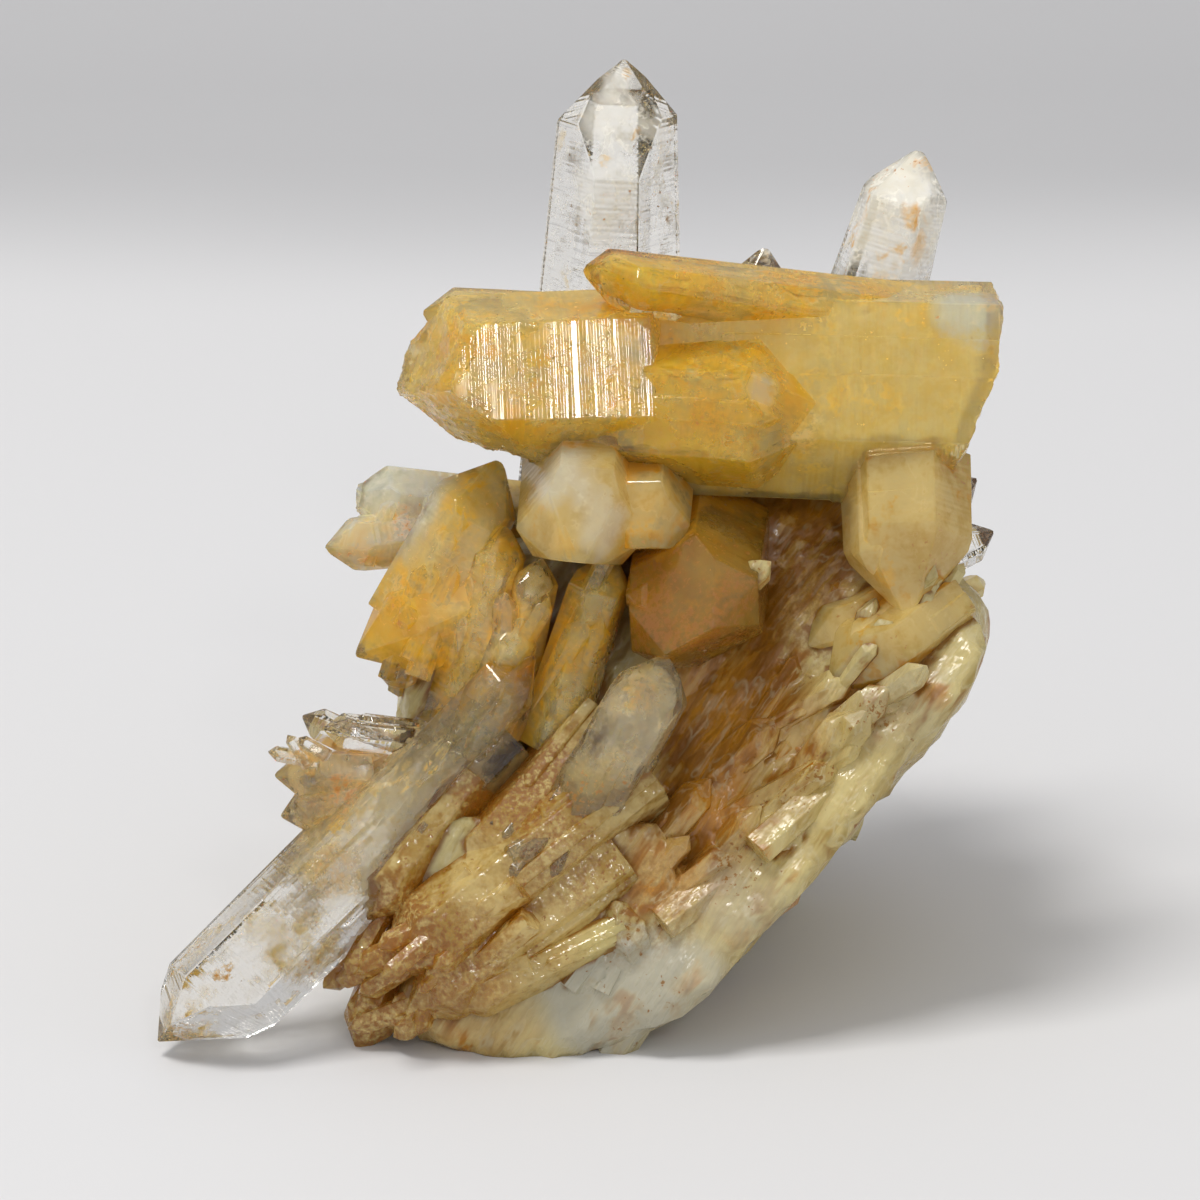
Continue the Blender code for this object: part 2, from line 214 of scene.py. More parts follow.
@dataclass(frozen=True)
class Boulder:
    """One lump of milky matrix: the fracture planes round its middle, each a facing and a distance."""

    middle: Triple
    planes: tuple[tuple[Triple, float], ...]
    rough: float
    seed: int
    look: Look = Look(1.0, 0.3, 0.1)

    def reach(self, outward: Vector, sharp: float = 14.0) -> float:
        """How far the surface lies from the middle in one direction: the nearest plane, a little rounded.

        Args:
            outward: The direction, of length one.
            sharp: How crisp the edges between two planes are.

        Returns:
            The distance in millimetres.
        """
        nearness = 0.0
        for facing, distance in self.planes:
            slant = max(Vector(facing).normalized().dot(outward), 0)
            nearness += (slant / distance) ** sharp
        return nearness ** (-1 / sharp)


class Shape:
    """A closed shape in millimetres, made with mesh operators."""

    def __init__(self) -> None:
        """Starts empty."""
        self.bm = bmesh.new()
        self.looks = self.bm.loops.layers.float_color.new(LOOK_LAYER)
        self.grain = self.bm.loops.layers.uv.new(GRAIN_LAYER)
        self.broken = self.bm.faces.layers.int.new(BROKEN_LAYER)

    def cut(self, point: Vector, facing: Vector, look: Optional[Look] = None) -> None:
        """Cuts off what lies beyond a plane, and closes the cut.

        Args:
            point: A point on the plane.
            facing: The way that the cut face will look.
            look: How the quartz is filled there, for a break in a painted shape.
        """
        bm = self.bm
        everything = bm.verts[:] + bm.edges[:] + bm.faces[:]
        made = bmesh.ops.bisect_plane(bm, geom=everything, plane_co=point, plane_no=facing, clear_outer=True)
        rim = [edge for edge in made["geom_cut"] if isinstance(edge, bmesh.types.BMEdge)]
        if not rim:
            return
        for face in bmesh.ops.contextual_create(bm, geom=rim)["faces"]:
            if look is not None:
                face[self.broken] = 1
                for loop in face.loops:
                    loop[self.looks] = (look.milk, look.gold, look.rust, 0)
                    loop[self.grain].uv = loop.vert.co.xz

    def score(self, height: float) -> None:
        """Runs a line round the shape at one height, so that it can step there."""
        bm = self.bm
        everything = bm.verts[:] + bm.edges[:] + bm.faces[:]
        bmesh.ops.bisect_plane(bm, geom=everything, plane_co=(0, 0, height), plane_no=(0, 0, 1))

    def merge(self, distance: float = TINY) -> None:
        """Merges points that nearly coincide, so that no edge has no length."""
        bmesh.ops.remove_doubles(self.bm, verts=self.bm.verts[:], dist=distance)

    def bevel(self, width: float) -> None:
        """Takes the sharpness off every edge."""
        bmesh.ops.bevel(
            self.bm, geom=self.bm.edges[:], offset=width, offset_type="OFFSET", segments=1, profile=0.5,
            affect="EDGES", material=-1, clamp_overlap=True,
        )

    def paint(self, look: Look, mark: float, ends: Optional[float] = None) -> None:
        """Writes how the shape is filled, and a grain that follows its length, on its faces.

        Args:
            look: How it is filled.
            mark: A number of its own, so that no two crystals have the same grain.
            ends: How far off the length a side may lean before it counts as an end face.
        """
        self.bm.normal_update()
        for face in self.bm.faces:
            middle = face.calc_center_median()
            turn = math.atan2(middle.y, middle.x)
            side = 1.0 if ends is not None and abs(face.normal.z) < ends else 0.0
            for loop in face.loops:
                place = loop.vert.co
                swing = math.atan2(place.y, place.x) - turn
                swing = (swing + math.pi) % (2 * math.pi) - math.pi
                round_by = (turn + swing) * 4.0
                loop[self.grain].uv = (round_by + mark * 50, place.z + mark * 170)
                loop[self.looks] = (look.milk, look.gold, look.rust, side)

    def finish(self, name: str) -> bpy.types.Object:
        """Turns the shape into an object in metres.

        Args:
            name: The object's name.

        Returns:
            The object, not yet in any collection.
        """
        bmesh.ops.recalc_face_normals(self.bm, faces=self.bm.faces[:])
        self.bm.transform(Matrix.Scale(MM, 4))
        mesh = bpy.data.meshes.new(name)
        self.bm.to_mesh(mesh)
        self.bm.free()
        return bpy.data.objects.new(name, mesh)


def round_about(step: int, roll: float) -> Vector:
    """The direction square to a crystal's length that one of its six sides faces."""
    angle = math.radians(360 / SIDES * step + roll)
    return Vector((math.cos(angle), math.sin(angle), 0))


def halve(bm: bmesh.types.BMesh, edges: Sequence[bmesh.types.BMEdge]) -> None:
    """Halves edges, and leaves triangles."""
    bmesh.ops.subdivide_edges(bm, edges=edges, cuts=1)
    bmesh.ops.triangulate(bm, faces=[face for face in bm.faces if len(face.verts) > 3])


def shorten(bm: bmesh.types.BMesh, longest: float, rounds: int = 5) -> None:
    """Turns a shape in metres into triangles, and halves their edges until few are longer than a measure.

    Args:
        bm: The shape.
        longest: The measure, in millimetres.
        rounds: How often an edge is halved at most.
    """
    bmesh.ops.triangulate(bm, faces=bm.faces[:])
    for _ in range(rounds):
        long = [edge for edge in bm.edges if edge.calc_length() > longest * MM]
        if not long:
            break
        halve(bm, long)


@dataclass
class CrystalCutter:
    """Cuts crystals as a lapidary would, each from a block, with ledges, steps and bevelled edges."""

    edge: float = 0.11
    edge_share: float = 0.02
    end_lean: float = 0.35
    shoulder: float = 0.9
    least_room: float = 0.2
    lowest_step: float = 0.12
    step_high: float = 0.16
    step_deep: tuple[float, float] = (0.006, 0.018)
    ledge_wide: tuple[float, float] = (0.24, 0.5)
    ledge_tall: tuple[float, float] = (0.35, 0.86)
    ledge_flat: tuple[float, float] = (0.8, 1.1)
    ledge_drop: float = 0.4
    ledge_proud: tuple[float, float] = (0.12, 0.5)
    rough_merge: float = 0.2
    fine_merge: float = 0.02
    made: int = 0

    def block(self, length: float, crystal: Crystal) -> Shape:
        """A six-sided block that stands at the origin, with its end faces.

        Args:
            length: How tall it stands.
            crystal: What gives its width, roll, drops and taper.

        Returns:
            The shape, its length along Z.
        """
        shape = Shape()
        size = length + crystal.wide + crystal.deep
        bmesh.ops.create_cube(shape.bm, size=2 * size, matrix=Matrix.Translation((0, 0, size)))
        taper = math.radians(crystal.taper)
        for step in range(SIDES):
            facing = round_about(step, crystal.roll)
            half = crystal.deep / 2 if step % 3 == 0 else crystal.wide * SIDE_REACH
            leaning = facing * math.cos(taper) + Vector((0, 0, math.sin(taper)))
            shape.cut(facing * half + Vector((0, 0, length / 2)), leaning)
        for step, drop in enumerate(crystal.drops):
            facing = round_about(step, crystal.roll)
            sloping = facing * math.cos(END_SLOPE) + Vector((0, 0, math.sin(END_SLOPE)))
            shape.cut(Vector((0, 0, length - drop)), sloping)
        lacking = length - max(vert.co.z for vert in shape.bm.verts)
        for vert in shape.bm.verts:
            if vert.co.z > length / 4:
                vert.co.z += lacking
        return shape

    def step_in(self, shape: Shape, length: float, crystal: Crystal, chance: random.Random) -> None:
        """Gives the sides a few growth steps, each of which draws them in a little on one side.

        Args:
            shape: The block, standing at the origin.
            length: How tall it stands.
            crystal: What it is the block of.
            chance: Where the steps' heights come from.
        """
        top = length - max(crystal.wide, crystal.deep) * self.shoulder
        heights = []
        if top > length * self.least_room:
            heights = sorted(chance.uniform(length * self.lowest_step, top) for _ in range(crystal.steps))
        for height in heights:
            shape.score(height)
            shape.score(height + self.step_high)
        for height in heights:
            deep = chance.uniform(*self.step_deep)
            turn = chance.uniform(-math.pi, math.pi)
            for vert in shape.bm.verts:
                if vert.co.z < height + self.step_high / 2:
                    continue
                lean = 0.5 + 0.5 * math.cos(math.atan2(vert.co.y, vert.co.x) - turn)
                vert.co.x *= 1 - deep * lean
                vert.co.y *= 1 - deep * lean

    def ledge(self, length: float, crystal: Crystal, chance: random.Random) -> Shape:
        """A slimmer crystal that grew on the side of a bigger one, parallel to it.

        Args:
            length: How tall the bigger one stands.
            crystal: The bigger one.
            chance: Where the ledge's size and side come from.

        Returns:
            The ledge, in the bigger one's own frame.
        """
        wide = crystal.wide * chance.uniform(*self.ledge_wide)
        tall = length * chance.uniform(*self.ledge_tall)
        step = chance.randrange(SIDES)
        drops = tuple(chance.uniform(0, wide * self.ledge_drop) for _ in range(SIDES))
        deep = wide * chance.uniform(*self.ledge_flat)
        small = replace(crystal, wide=wide, deep=deep, drops=drops, taper=0.2, steps=1)
        shape = self.block(tall, small)
        self.step_in(shape, tall, small, chance)
        out = round_about(step, crystal.roll)
        half = crystal.deep / 2 if step % 3 == 0 else crystal.wide * SIDE_REACH
        lean = (length / 2 - tall) * math.tan(math.radians(crystal.taper))
        own = small.deep / 2 if step % 3 == 0 else wide * SIDE_REACH
        room = max(crystal.wide * 0.26 - wide * 0.5, 0)
        along = Vector((-out.y, out.x, 0)) * chance.uniform(-room, room)
        outward = out * (half + lean - own + chance.uniform(*self.ledge_proud))
        shape.bm.transform(Matrix.Translation(outward + along))
        return shape

    def cut(self, crystal: Crystal, name: str) -> list[bpy.types.Object]:
        """Cuts one crystal and its ledges.

        Args:
            crystal: The crystal.
            name: What the objects are called.

        Returns:
            One closed object for the crystal and one for each ledge.
        """
        self.made += 1
        chance = random.Random(self.made * 7 + 3)
        foot, tip = spot(*crystal.foot), spot(*crystal.tip)
        length = (tip - foot).length
        along = (tip - foot).normalized()
        front = (-AWAY - along * along.dot(-AWAY)).normalized()
        upright = Matrix((front, along.cross(front), along)).transposed().to_4x4()
        body = self.block(length, crystal)
        self.step_in(body, length, crystal, chance)
        shapes = [body] + [self.ledge(length, crystal, chance) for _ in range(crystal.ledges)]
        objects = []
        for number, shape in enumerate(shapes):
            shape.merge(self.rough_merge)
            shape.bevel(min(self.edge, crystal.wide * self.edge_share))
            shape.merge(self.fine_merge)
            shape.paint(crystal.look, chance.random() * 7, ends=self.end_lean)
            shape.bm.transform(Matrix.Translation(foot) @ upright)
            for place, facing in crystal.breaks:
                across, up, away = facing
                shape.cut(spot(*place), ACROSS * across + UPWARD * up + AWAY * away, crystal.look)
            shape.cut(Vector(), Vector((0, 0, -1)))
            shape.merge(self.fine_merge)
            objects.append(shape.finish(f"{name}_{number}"))
        return objects


@dataclass
class BoulderCutter:
    """Makes lumps of matrix: a ball pushed in to the nearest of its fracture planes, then roughened.

    Its front gets fine threads, which the photo shows, and its sides and back get broken facets.
    """

    fineness: int = 5
    lump_scale: float = 0.11
    thread: float = 0.34
    thread_scale: float = 0.62
    thread_drawn: float = 0.8
    thread_back: float = 0.25
    chip: float = 3.2
    chip_scale: float = 0.2
    chip_front: float = 0.6
    front_sharp: float = 2.0
    fibre: Triple = (0.60, 0.80, 0.0)

    def cut(self, boulder: Boulder, name: str) -> bpy.types.Object:
        """Makes one lump.

        Args:
            boulder: The lump.
            name: What the object is called.

        Returns:
            The closed object.
        """
        shape = Shape()
        bmesh.ops.create_icosphere(shape.bm, subdivisions=self.fineness, radius=1)
        offset = Vector((boulder.seed, 0, 0))
        fibre = Vector(self.fibre).normalized()
        for vert in shape.bm.verts:
            outward = vert.co.normalized()
            radius = boulder.reach(outward)
            place = Vector(boulder.middle) + outward * radius
            lumps = noise.fractal(place * self.lump_scale + offset, 0.9, 2.1, 4)
            place += outward * radius * boulder.rough * lumps
            front = min(max(0.5 - outward.z * self.front_sharp, 0.0), 1.0)
            drawn = place - fibre * place.dot(fibre) * self.thread_drawn
            grain = noise.ridged_multi_fractal(drawn * self.thread_scale, 0.8, 2.2, 4, 1.0, 2.0)
            _, cells = noise.voronoi(place * self.chip_scale + offset)
            tilt = noise.cell_vector(cells[0] * 7.0) - Vector((0.5, 0.5, 0.5))
            chip = (place * self.chip_scale + offset - cells[0]).dot(tilt)
            thread = (1.0 - grain) * self.thread * (self.thread_back + (1.0 - self.thread_back) * front)
            place += outward * (thread + chip * self.chip * (1.0 - front * self.chip_front))
            vert.co = spot(*place)
        shape.cut(Vector(), Vector((0, 0, -1)))
        shape.merge()
        shape.paint(boulder.look, boulder.seed)
        for face in shape.bm.faces:
            face.smooth = True
        return shape.finish(name)


class Grower:
    """Grows shapes together into one closed piece."""

    def __init__(self) -> None:
        """Sets up the cutters, which all pieces share."""
        self.cutter = CrystalCutter()
        self.lumps = BoulderCutter()

    def crystals(self, name: str, crystals: Iterable[Crystal]) -> list[bpy.types.Object]:
        """Cuts every crystal of a group.

        Args:
            name: The group's name.
            crystals: The group's crystals.

        Returns:
            The closed objects.
        """
        return [
            made for number, crystal in enumerate(crystals)
            for made in self.cutter.cut(crystal, f"{name}_{number}")
        ]

    def join(self, name: str, parts: Sequence[bpy.types.Object]) -> bpy.types.Object:
        """Unites closed objects into one, and leaves one object with a finished mesh.

        Args:
            name: The finished piece's name.
            parts: The objects, which are used up.

        Returns:
            The finished piece, in the scene.
        """
        scene = bpy.context.scene.collection
        helpers = bpy.data.collections.new(f"{name}_parts")
        scene.children.link(helpers)
        first, rest = parts[0], parts[1:]
        scene.objects.link(first)
        for part in rest:
            helpers.objects.link(part)
        if rest:
            union = first.modifiers.new("grown together", "BOOLEAN")
            union.operation = "UNION"
            union.solver = "EXACT"
            union.operand_type = "COLLECTION"
            union.collection = helpers
        graph = bpy.context.evaluated_depsgraph_get()
        mesh = bpy.data.meshes.new_from_object(first.evaluated_get(graph), depsgraph=graph)
        mesh.name = name
        piece = bpy.data.objects.new(name, mesh)
        scene.objects.link(piece)
        for part in parts:
            data = part.data
            bpy.data.objects.remove(part)
            bpy.data.meshes.remove(data)
        bpy.data.collections.remove(helpers)
        return piece


@dataclass
class HollowRustAndShade:
    """Measures how shut in each point of the specimen is: rust and golden earth gather there, and the colour also
    paints the shade that falls there.
    """

    layer: str = "hollow"
    reach: float = 8.0
    rays: int = 14
    lift: float = 0.12
    upright: float = 1.05
    longest: float = 1.7
    chip_size: float = 0.5
    chip_rounds: int = 3
    chip_rough: float = 0.45
    shell_scale: float = 0.16
    speck_scale: float = 1.3
    seed: int = 5

    def refine(self, piece: bpy.types.Object) -> None:
        """Splits long edges, so that what is measured at the points varies smoothly over a flat face.

        Broken faces are split finely and roughened, as a shell-like fracture is.

        Args:
            piece: The piece, whose outline stays as it is.
        """
        bm = bmesh.new()
        bm.from_mesh(piece.data)
        shorten(bm, self.longest)
        broken = bm.faces.layers.int.get(BROKEN_LAYER)
        for _ in range(self.chip_rounds):
            halve(bm, [
                edge for edge in bm.edges
                if edge.calc_length() > self.chip_size * MM and any(face[broken] for face in edge.link_faces)
            ])
        bm.normal_update()
        pushes = []
        for vert in bm.verts:
            faces = [face for face in vert.link_faces if face[broken]]
            if not faces:
                continue
            place = vert.co / MM
            shell = noise.ridged_multi_fractal(place * self.shell_scale, 0.9, 2.0, 4, 1.0, 2.0) - 1
            push = shell * self.chip_rough + noise.noise(place * self.speck_scale) * self.chip_rough * 0.3
            if len(faces) < len(vert.link_faces):
                push = -abs(push) * 0.5
            pushes.append((vert, faces[0].normal * push * MM))
        for vert, push in pushes:
            vert.co += push
        bm.to_mesh(piece.data)
        bm.free()

    def measure(self, pieces: Sequence[bpy.types.Object]) -> None:
        """Writes the layer on every piece.

        Args:
            pieces: All pieces of the specimen.
        """
        corners: list[Vector] = []
        faces: list[tuple[int, ...]] = []
        for piece in pieces:
            self.refine(piece)
            first = len(corners)
            corners += [vert.co / MM for vert in piece.data.vertices]
            faces += [tuple(first + corner for corner in face.vertices) for face in piece.data.polygons]
        tree = BVHTree.FromPolygons(corners, faces)
        chance = random.Random(self.seed)
        fan = [Vector([chance.gauss(0, 1) for _ in range(3)]).normalized() for _ in range(self.rays)]
        for piece in pieces:
            layer = piece.data.attributes.new(self.layer, "FLOAT", "POINT")
            shut = []
            for vert in piece.data.vertices:
                out = vert.normal
                start = vert.co / MM + out * self.lift
                total = 0.0
                for ray in fan:
                    way = (out * self.upright + ray).normalized()
                    _, _, _, far = tree.ray_cast(start, way, self.reach)
                    if far is not None:
                        total += 1 - far / self.reach
                shut.append(total / self.rays)
            layer.data.foreach_set("value", shut)


class Value:
    """A number that varies over a surface. Python's operators on it add the nodes that work it out."""

    def __init__(self, board: "Board", socket: bpy.types.NodeSocket) -> None:
        """Wraps an output socket."""
        self.board = board
        self.socket = socket

    def math(self, operation: str, *others: Any, clamp: bool = False) -> "Value":
        """Adds a Math node that starts from this value."""
        node = self.board.node(
            "ShaderNodeMath", {"operation": operation, "use_clamp": clamp}, dict(enumerate((self, *others))),
        )
        return Value(self.board, node.outputs[0])

    def __add__(self, other: Any) -> "Value":
        """This plus another."""
        return self.math("ADD", other)

    def __mul__(self, other: Any) -> "Value":
        """This times another."""
        return self.math("MULTIPLY", other)

    def __sub__(self, other: Any) -> "Value":
        """This less another."""
        return self.math("SUBTRACT", other)

    def __rsub__(self, other: float) -> "Value":
        """A number less this."""
        node = self.board.node("ShaderNodeMath", {"operation": "SUBTRACT"}, {0: other, 1: self})
        return Value(self.board, node.outputs[0])

    __radd__ = __add__
    __rmul__ = __mul__

    def clamped(self) -> "Value":
        """This, kept between 0 and 1."""
        return self.math("ADD", 0.0, clamp=True)

    def ramp(self, low: Any, high: Any) -> "Value":
        """A soft step from 0 at low to 1 at high."""
        node = self.board.node(
            "ShaderNodeMapRange", {"interpolation_type": "SMOOTHSTEP"},
            {"Value": self, "From Min": low, "From Max": high},
        )
        return Value(self.board, node.outputs["Result"])


class Board:
    """The node tree of one material, and the few ways in which nodes are added to it."""

    def __init__(self, name: str) -> None:
        """Starts an empty material."""
        self.material = bpy.data.materials.new(name)
        self.material.use_nodes = True
        self.tree = self.material.node_tree
        self.tree.nodes.clear()

    def node(
        self, kind: str, settings: Optional[dict[str, Any]] = None, inputs: Optional[dict[Any, Any]] = None,
    ) -> bpy.types.Node:
        """Adds a node.

        Args:
            kind: The node's type.
            settings: Its own settings, which are set first. A ramp's stops are given as "stops".
            inputs: The values or links of its sockets, by name or number.

        Returns:
            The node.
        """
        node = self.tree.nodes.new(kind)
        for key, value in (settings or {}).items():
            if key == "stops":
                ramp = node.color_ramp
                while len(ramp.elements) < len(value):
                    ramp.elements.new(0.5)
                for element, (place, colour) in zip(ramp.elements, value):
                    element.position = place
                    element.color = (*colour, 1)
            else:
                setattr(node, key, value)
        for key, value in (inputs or {}).items():
            socket = node.inputs[key]
            source = value.socket if isinstance(value, Value) else value
            if isinstance(source, bpy.types.NodeSocket):
                self.tree.links.new(source, socket)
            elif isinstance(source, tuple) and len(source) == 3 and socket.type == "RGBA":
                socket.default_value = (*source, 1)
            else:
                socket.default_value = source
        return node

    def place(self) -> bpy.types.NodeSocket:
        """The point on the piece, in millimetres."""
        here = self.node("ShaderNodeTexCoord").outputs["Object"]
        return self.vector("SCALE", {0: here, "Scale": 1 / MM})

    def vector(self, operation: str, inputs: dict[Any, Any], output: Any = 0) -> bpy.types.NodeSocket:
        """Works with points and directions."""
        return self.node("ShaderNodeVectorMath", {"operation": operation}, inputs).outputs[output]

    def stretch(self, where: Any, by: Triple) -> bpy.types.NodeSocket:
        """A point with each of its numbers multiplied."""
        return self.vector("MULTIPLY", {0: where, 1: by})

    def noise(self, where: Any, scale: float, detail: float, rough: float) -> Value:
        """Soft blotches.

        Args:
            where: The point that is coloured.
            scale: How many blotches fit in a millimetre.
            detail: How many finer layers are added.
            rough: How strong the finer layers are.

        Returns:
            The pattern, about 0.5 on average.
        """
        node = self.node(
            "ShaderNodeTexNoise", {"noise_dimensions": "3D"},
            {"Vector": where, "Scale": scale, "Detail": detail, "Roughness": rough},
        )
        return Value(self, node.outputs[0])

    def mix(self, amount: Any, first: Any, second: Any) -> bpy.types.NodeSocket:
        """Mixes two colours."""
        node = self.node("ShaderNodeMix", {"data_type": "RGBA"}, {0: amount, 6: first, 7: second})
        return node.outputs[2]


class Tinge(Enum):
    """What a patch adds to or takes from the quartz around it."""

    MILK = "milk"
    CLEAR = "clear"
    GOLD = "gold"
    RUST = "rust"
    WHITE = "white"


@dataclass(frozen=True)
class Patch:
    """A blotch at one place of the front: where it lies in 1200ths of the view, its size and its strength."""

    right: float
    down: float
    size: float
    tinge: Tinge
    strength: float = 1.0
    deeper: float = 0.0


@dataclass(frozen=True)
class QuartzFinish:
    """Quartz with milky and golden clouds, veils, growth lines and rust, and hollows darkened with rust and
    painted shade. Colours are linear.
    """

    name: str
    clear_colour: Triple = (0.97, 0.96, 0.93)
    clear_gold: Triple = (0.92, 0.66, 0.2)
    milk_colour: Triple = (0.80, 0.72, 0.56)
    milk_shade: Triple = (0.62, 0.50, 0.32)
    gold_colour: Triple = (0.80, 0.47, 0.07)
    gold_shade: Triple = (0.55, 0.26, 0.02)
    # The dark brown of rust and painted shade in the hollows.
    rust_and_shade_colour: Triple = (0.45, 0.20, 0.012)
    rust_colour: Triple = (0.34, 0.135, 0.012)
    absorb_colour: Optional[Triple] = None
    absorb_density: float = 100.0
    glow: Triple = (1.0, 0.7, 0.35)
    glow_depth: float = 0.006
    glow_share: float = 1.0
    cloud_scale: float = 0.16
    body: float = 0.7
    clear_rough: float = 0.03
    milk_rough: float = 0.09
    lines: float = 1.0
    bumps: float = 0.25
    grit: float = 0.0
    clear_share: float = 1.0
    holes: float = 0.0
    veil: float = 0.35
    rusts: bool = True
    fibre: Optional[Triple] = None
    fibre_drawn: float = 0.85
    relief: float = 0.0004
    patch_rim: tuple[float, float] = (1.25, 0.55)
    veil_colour: Triple = (0.80, 0.70, 0.45)
    white_colour: Triple = (0.80, 0.80, 0.70)
    # How strongly the hollows are darkened with rust and painted shade.
    sunk: float = 1.0
    patches: tuple[Patch, ...] = ()

    def spots(self, board: Board, finder: FrontFinder, warped: Any, tinge: Tinge) -> Optional[Value]:
        """The sum of the finish's patches of one kind, or nothing where it has none.

        Args:
            board: The material's nodes.
            finder: What finds the surface that a patch lies on.
            warped: The point that is coloured, shifted about so that patches have ragged rims.
            tinge: The kind.

        Returns:
            The sum, or None.
        """
        total = None
        for patch in self.patches:
            if patch.tinge is not tinge:
                continue
            centre, _ = finder.hit(patch.right, patch.down)
            centre = centre + AWAY * patch.deeper
            far = Value(board, board.vector("DISTANCE", {0: warped, 1: tuple(centre)}, "Value"))
            here = far.ramp(patch.size * self.patch_rim[0], patch.size * self.patch_rim[1]) * patch.strength
            total = here if total is None else total + here
        return total

    def dress(self, piece: bpy.types.Object, finder: FrontFinder) -> None:
        """Builds the material and puts it on a piece.

        Args:
            piece: The piece, with its look and grain layers, and the layer that darkens its hollows with rust and
                painted shade.
            finder: What finds the surface that a patch lies on.
        """
        board = Board(self.name)
        here = board.place()
        look = board.node("ShaderNodeAttribute", {"attribute_type": "GEOMETRY", "attribute_name": LOOK_LAYER})
        parts = board.node("ShaderNodeSeparateColor", {}, {0: look.outputs["Color"]})
        milk, gold, rust = (Value(board, parts.outputs[number]) for number in range(3))
        side = Value(board, look.outputs["Alpha"])
        # How shut in each point is, which darkens the hollows with rust and painted shade.
        shut = board.node("ShaderNodeAttribute", {"attribute_type": "GEOMETRY", "attribute_name": HollowRustAndShade.layer})
        hollow = Value(board, shut.outputs["Fac"])
        grain = board.node("ShaderNodeUVMap", {"uv_map": GRAIN_LAYER}).outputs[0]

        drawn = here
        if self.fibre is not None:
            way = Vector(self.fibre).normalized()
            run = board.vector("DOT_PRODUCT", {0: here, 1: tuple(way)}, "Value")
            back = board.vector("SCALE", {0: tuple(-way * self.fibre_drawn), "Scale": run})
            drawn = board.vector("ADD", {0: here, 1: back})
        cloud = board.noise(here, self.cloud_scale, 1, 0.6)
        fine = board.noise(drawn, 0.85, 2, 0.66)
        streak = board.noise(board.stretch(grain, (0.7, 0.24, 1)), 1.0, 0, 0.6)
        flecks = board.noise(here, 1.6, 2, 0.75) if self.rusts else fine
        shift = board.node(
            "ShaderNodeCombineXYZ", {}, {0: (cloud - 0.5) * 6, 1: (fine - 0.5) * 5, 2: (streak - 0.5) * 4},
        )
        warped = board.vector("ADD", {0: here, 1: shift.outputs[0]})
        amber = board.noise(warped, 0.2, 2, 0.62)

        milky = (cloud * 0.55 + fine * 0.3 + streak * 0.15).ramp(0.74 - milk * 0.6, 0.86 - milk * 0.4)
        veils = (1 - (amber - 0.47).math("ABSOLUTE") * 26).clamped() * fine.ramp(0.4, 0.6)
        golden = (amber * 0.75 + fine * 0.25).ramp(0.62 - gold * 0.3, 0.76 - gold * 0.26)
        rusty = rust * 0
        if self.rusts:
            rusty = (flecks * 0.65 + cloud * 0.35).ramp(0.66 - rust * 0.2, 0.70 - rust * 0.17)
        # Rust and painted shade in the hollows, where the points are most shut in.
        sunk = ((hollow + (fine - 0.5) * 0.4).ramp(0.32, 0.66) * self.sunk).clamped()

        for tinge in Tinge:
            extra = self.spots(board, finder, warped, tinge)
            if extra is None:
                continue
            if tinge is Tinge.MILK:
                milky = milky + extra
            elif tinge is Tinge.CLEAR:
                milky = milky * (1 - extra.clamped())
                golden = golden * (1 - extra.clamped() * 0.8)
            elif tinge is Tinge.GOLD:
                golden = golden + extra * (fine * 1.6 - 0.1).clamped()
            elif tinge is Tinge.RUST:
                rusty = rusty + extra * (flecks * 4.2 - 1.6).clamped()
        milky, golden, rusty = milky.clamped(), golden.clamped(), rusty.clamped()

        body = board.mix((cloud * 0.55 + fine * 0.45).ramp(0.4, 0.64), self.milk_colour, self.milk_shade)
        body = board.mix(
            golden * 0.92, body,
            board.mix((fine * 0.5 + cloud * 0.5).ramp(0.36, 0.64), self.gold_colour, self.gold_shade),
        )
        body = board.mix(veils * self.veil, body, self.veil_colour)
        white = self.spots(board, finder, warped, Tinge.WHITE)
        if white is not None:
            body = board.mix(white.clamped() * (1 - golden * 0.5), body, self.white_colour)
        # The hollows take the dark brown of rust and painted shade.
        body = board.mix(sunk * 0.85, body, self.rust_and_shade_colour)
        body = board.mix(rusty * 0.9, body, self.rust_colour)

        slope = {}
        if self.bumps:
            relief = board.noise(board.stretch(grain, (0.1, 2.4, 1)), 1.0, 0, 0.5) * side * self.lines
            if self.grit:
                relief = relief + board.noise(drawn, 0.9, 2, 0.6) * (0.5 + self.grit)
                relief = relief + board.noise(here, 0.7, 1, 0.6) * 1.4
            bump = board.node(
                "ShaderNodeBump", {}, {"Strength": self.bumps, "Distance": self.relief, "Height": relief},
            )
            slope["Normal"] = bump.outputs[0]
        rough = fine.ramp(0.35, 0.65) * self.milk_rough + self.milk_rough * 0.4 + rusty * 0.3
        skin = board.node("ShaderNodeBsdfPrincipled", {"subsurface_method": "BURLEY"}, {
            "Base Color": body, "Roughness": rough, "IOR": QUARTZ_IOR, "Subsurface Weight": self.glow_share,
            "Subsurface Radius": self.glow, "Subsurface Scale": self.glow_depth, **slope,
        })
        if self.holes:
            board.tree.links.new((1 - (1 - (milky + golden).clamped()) * self.holes).socket, skin.inputs["Alpha"])
        if self.clear_share:
            tint = board.mix(golden * 0.85, self.clear_colour, self.clear_gold)
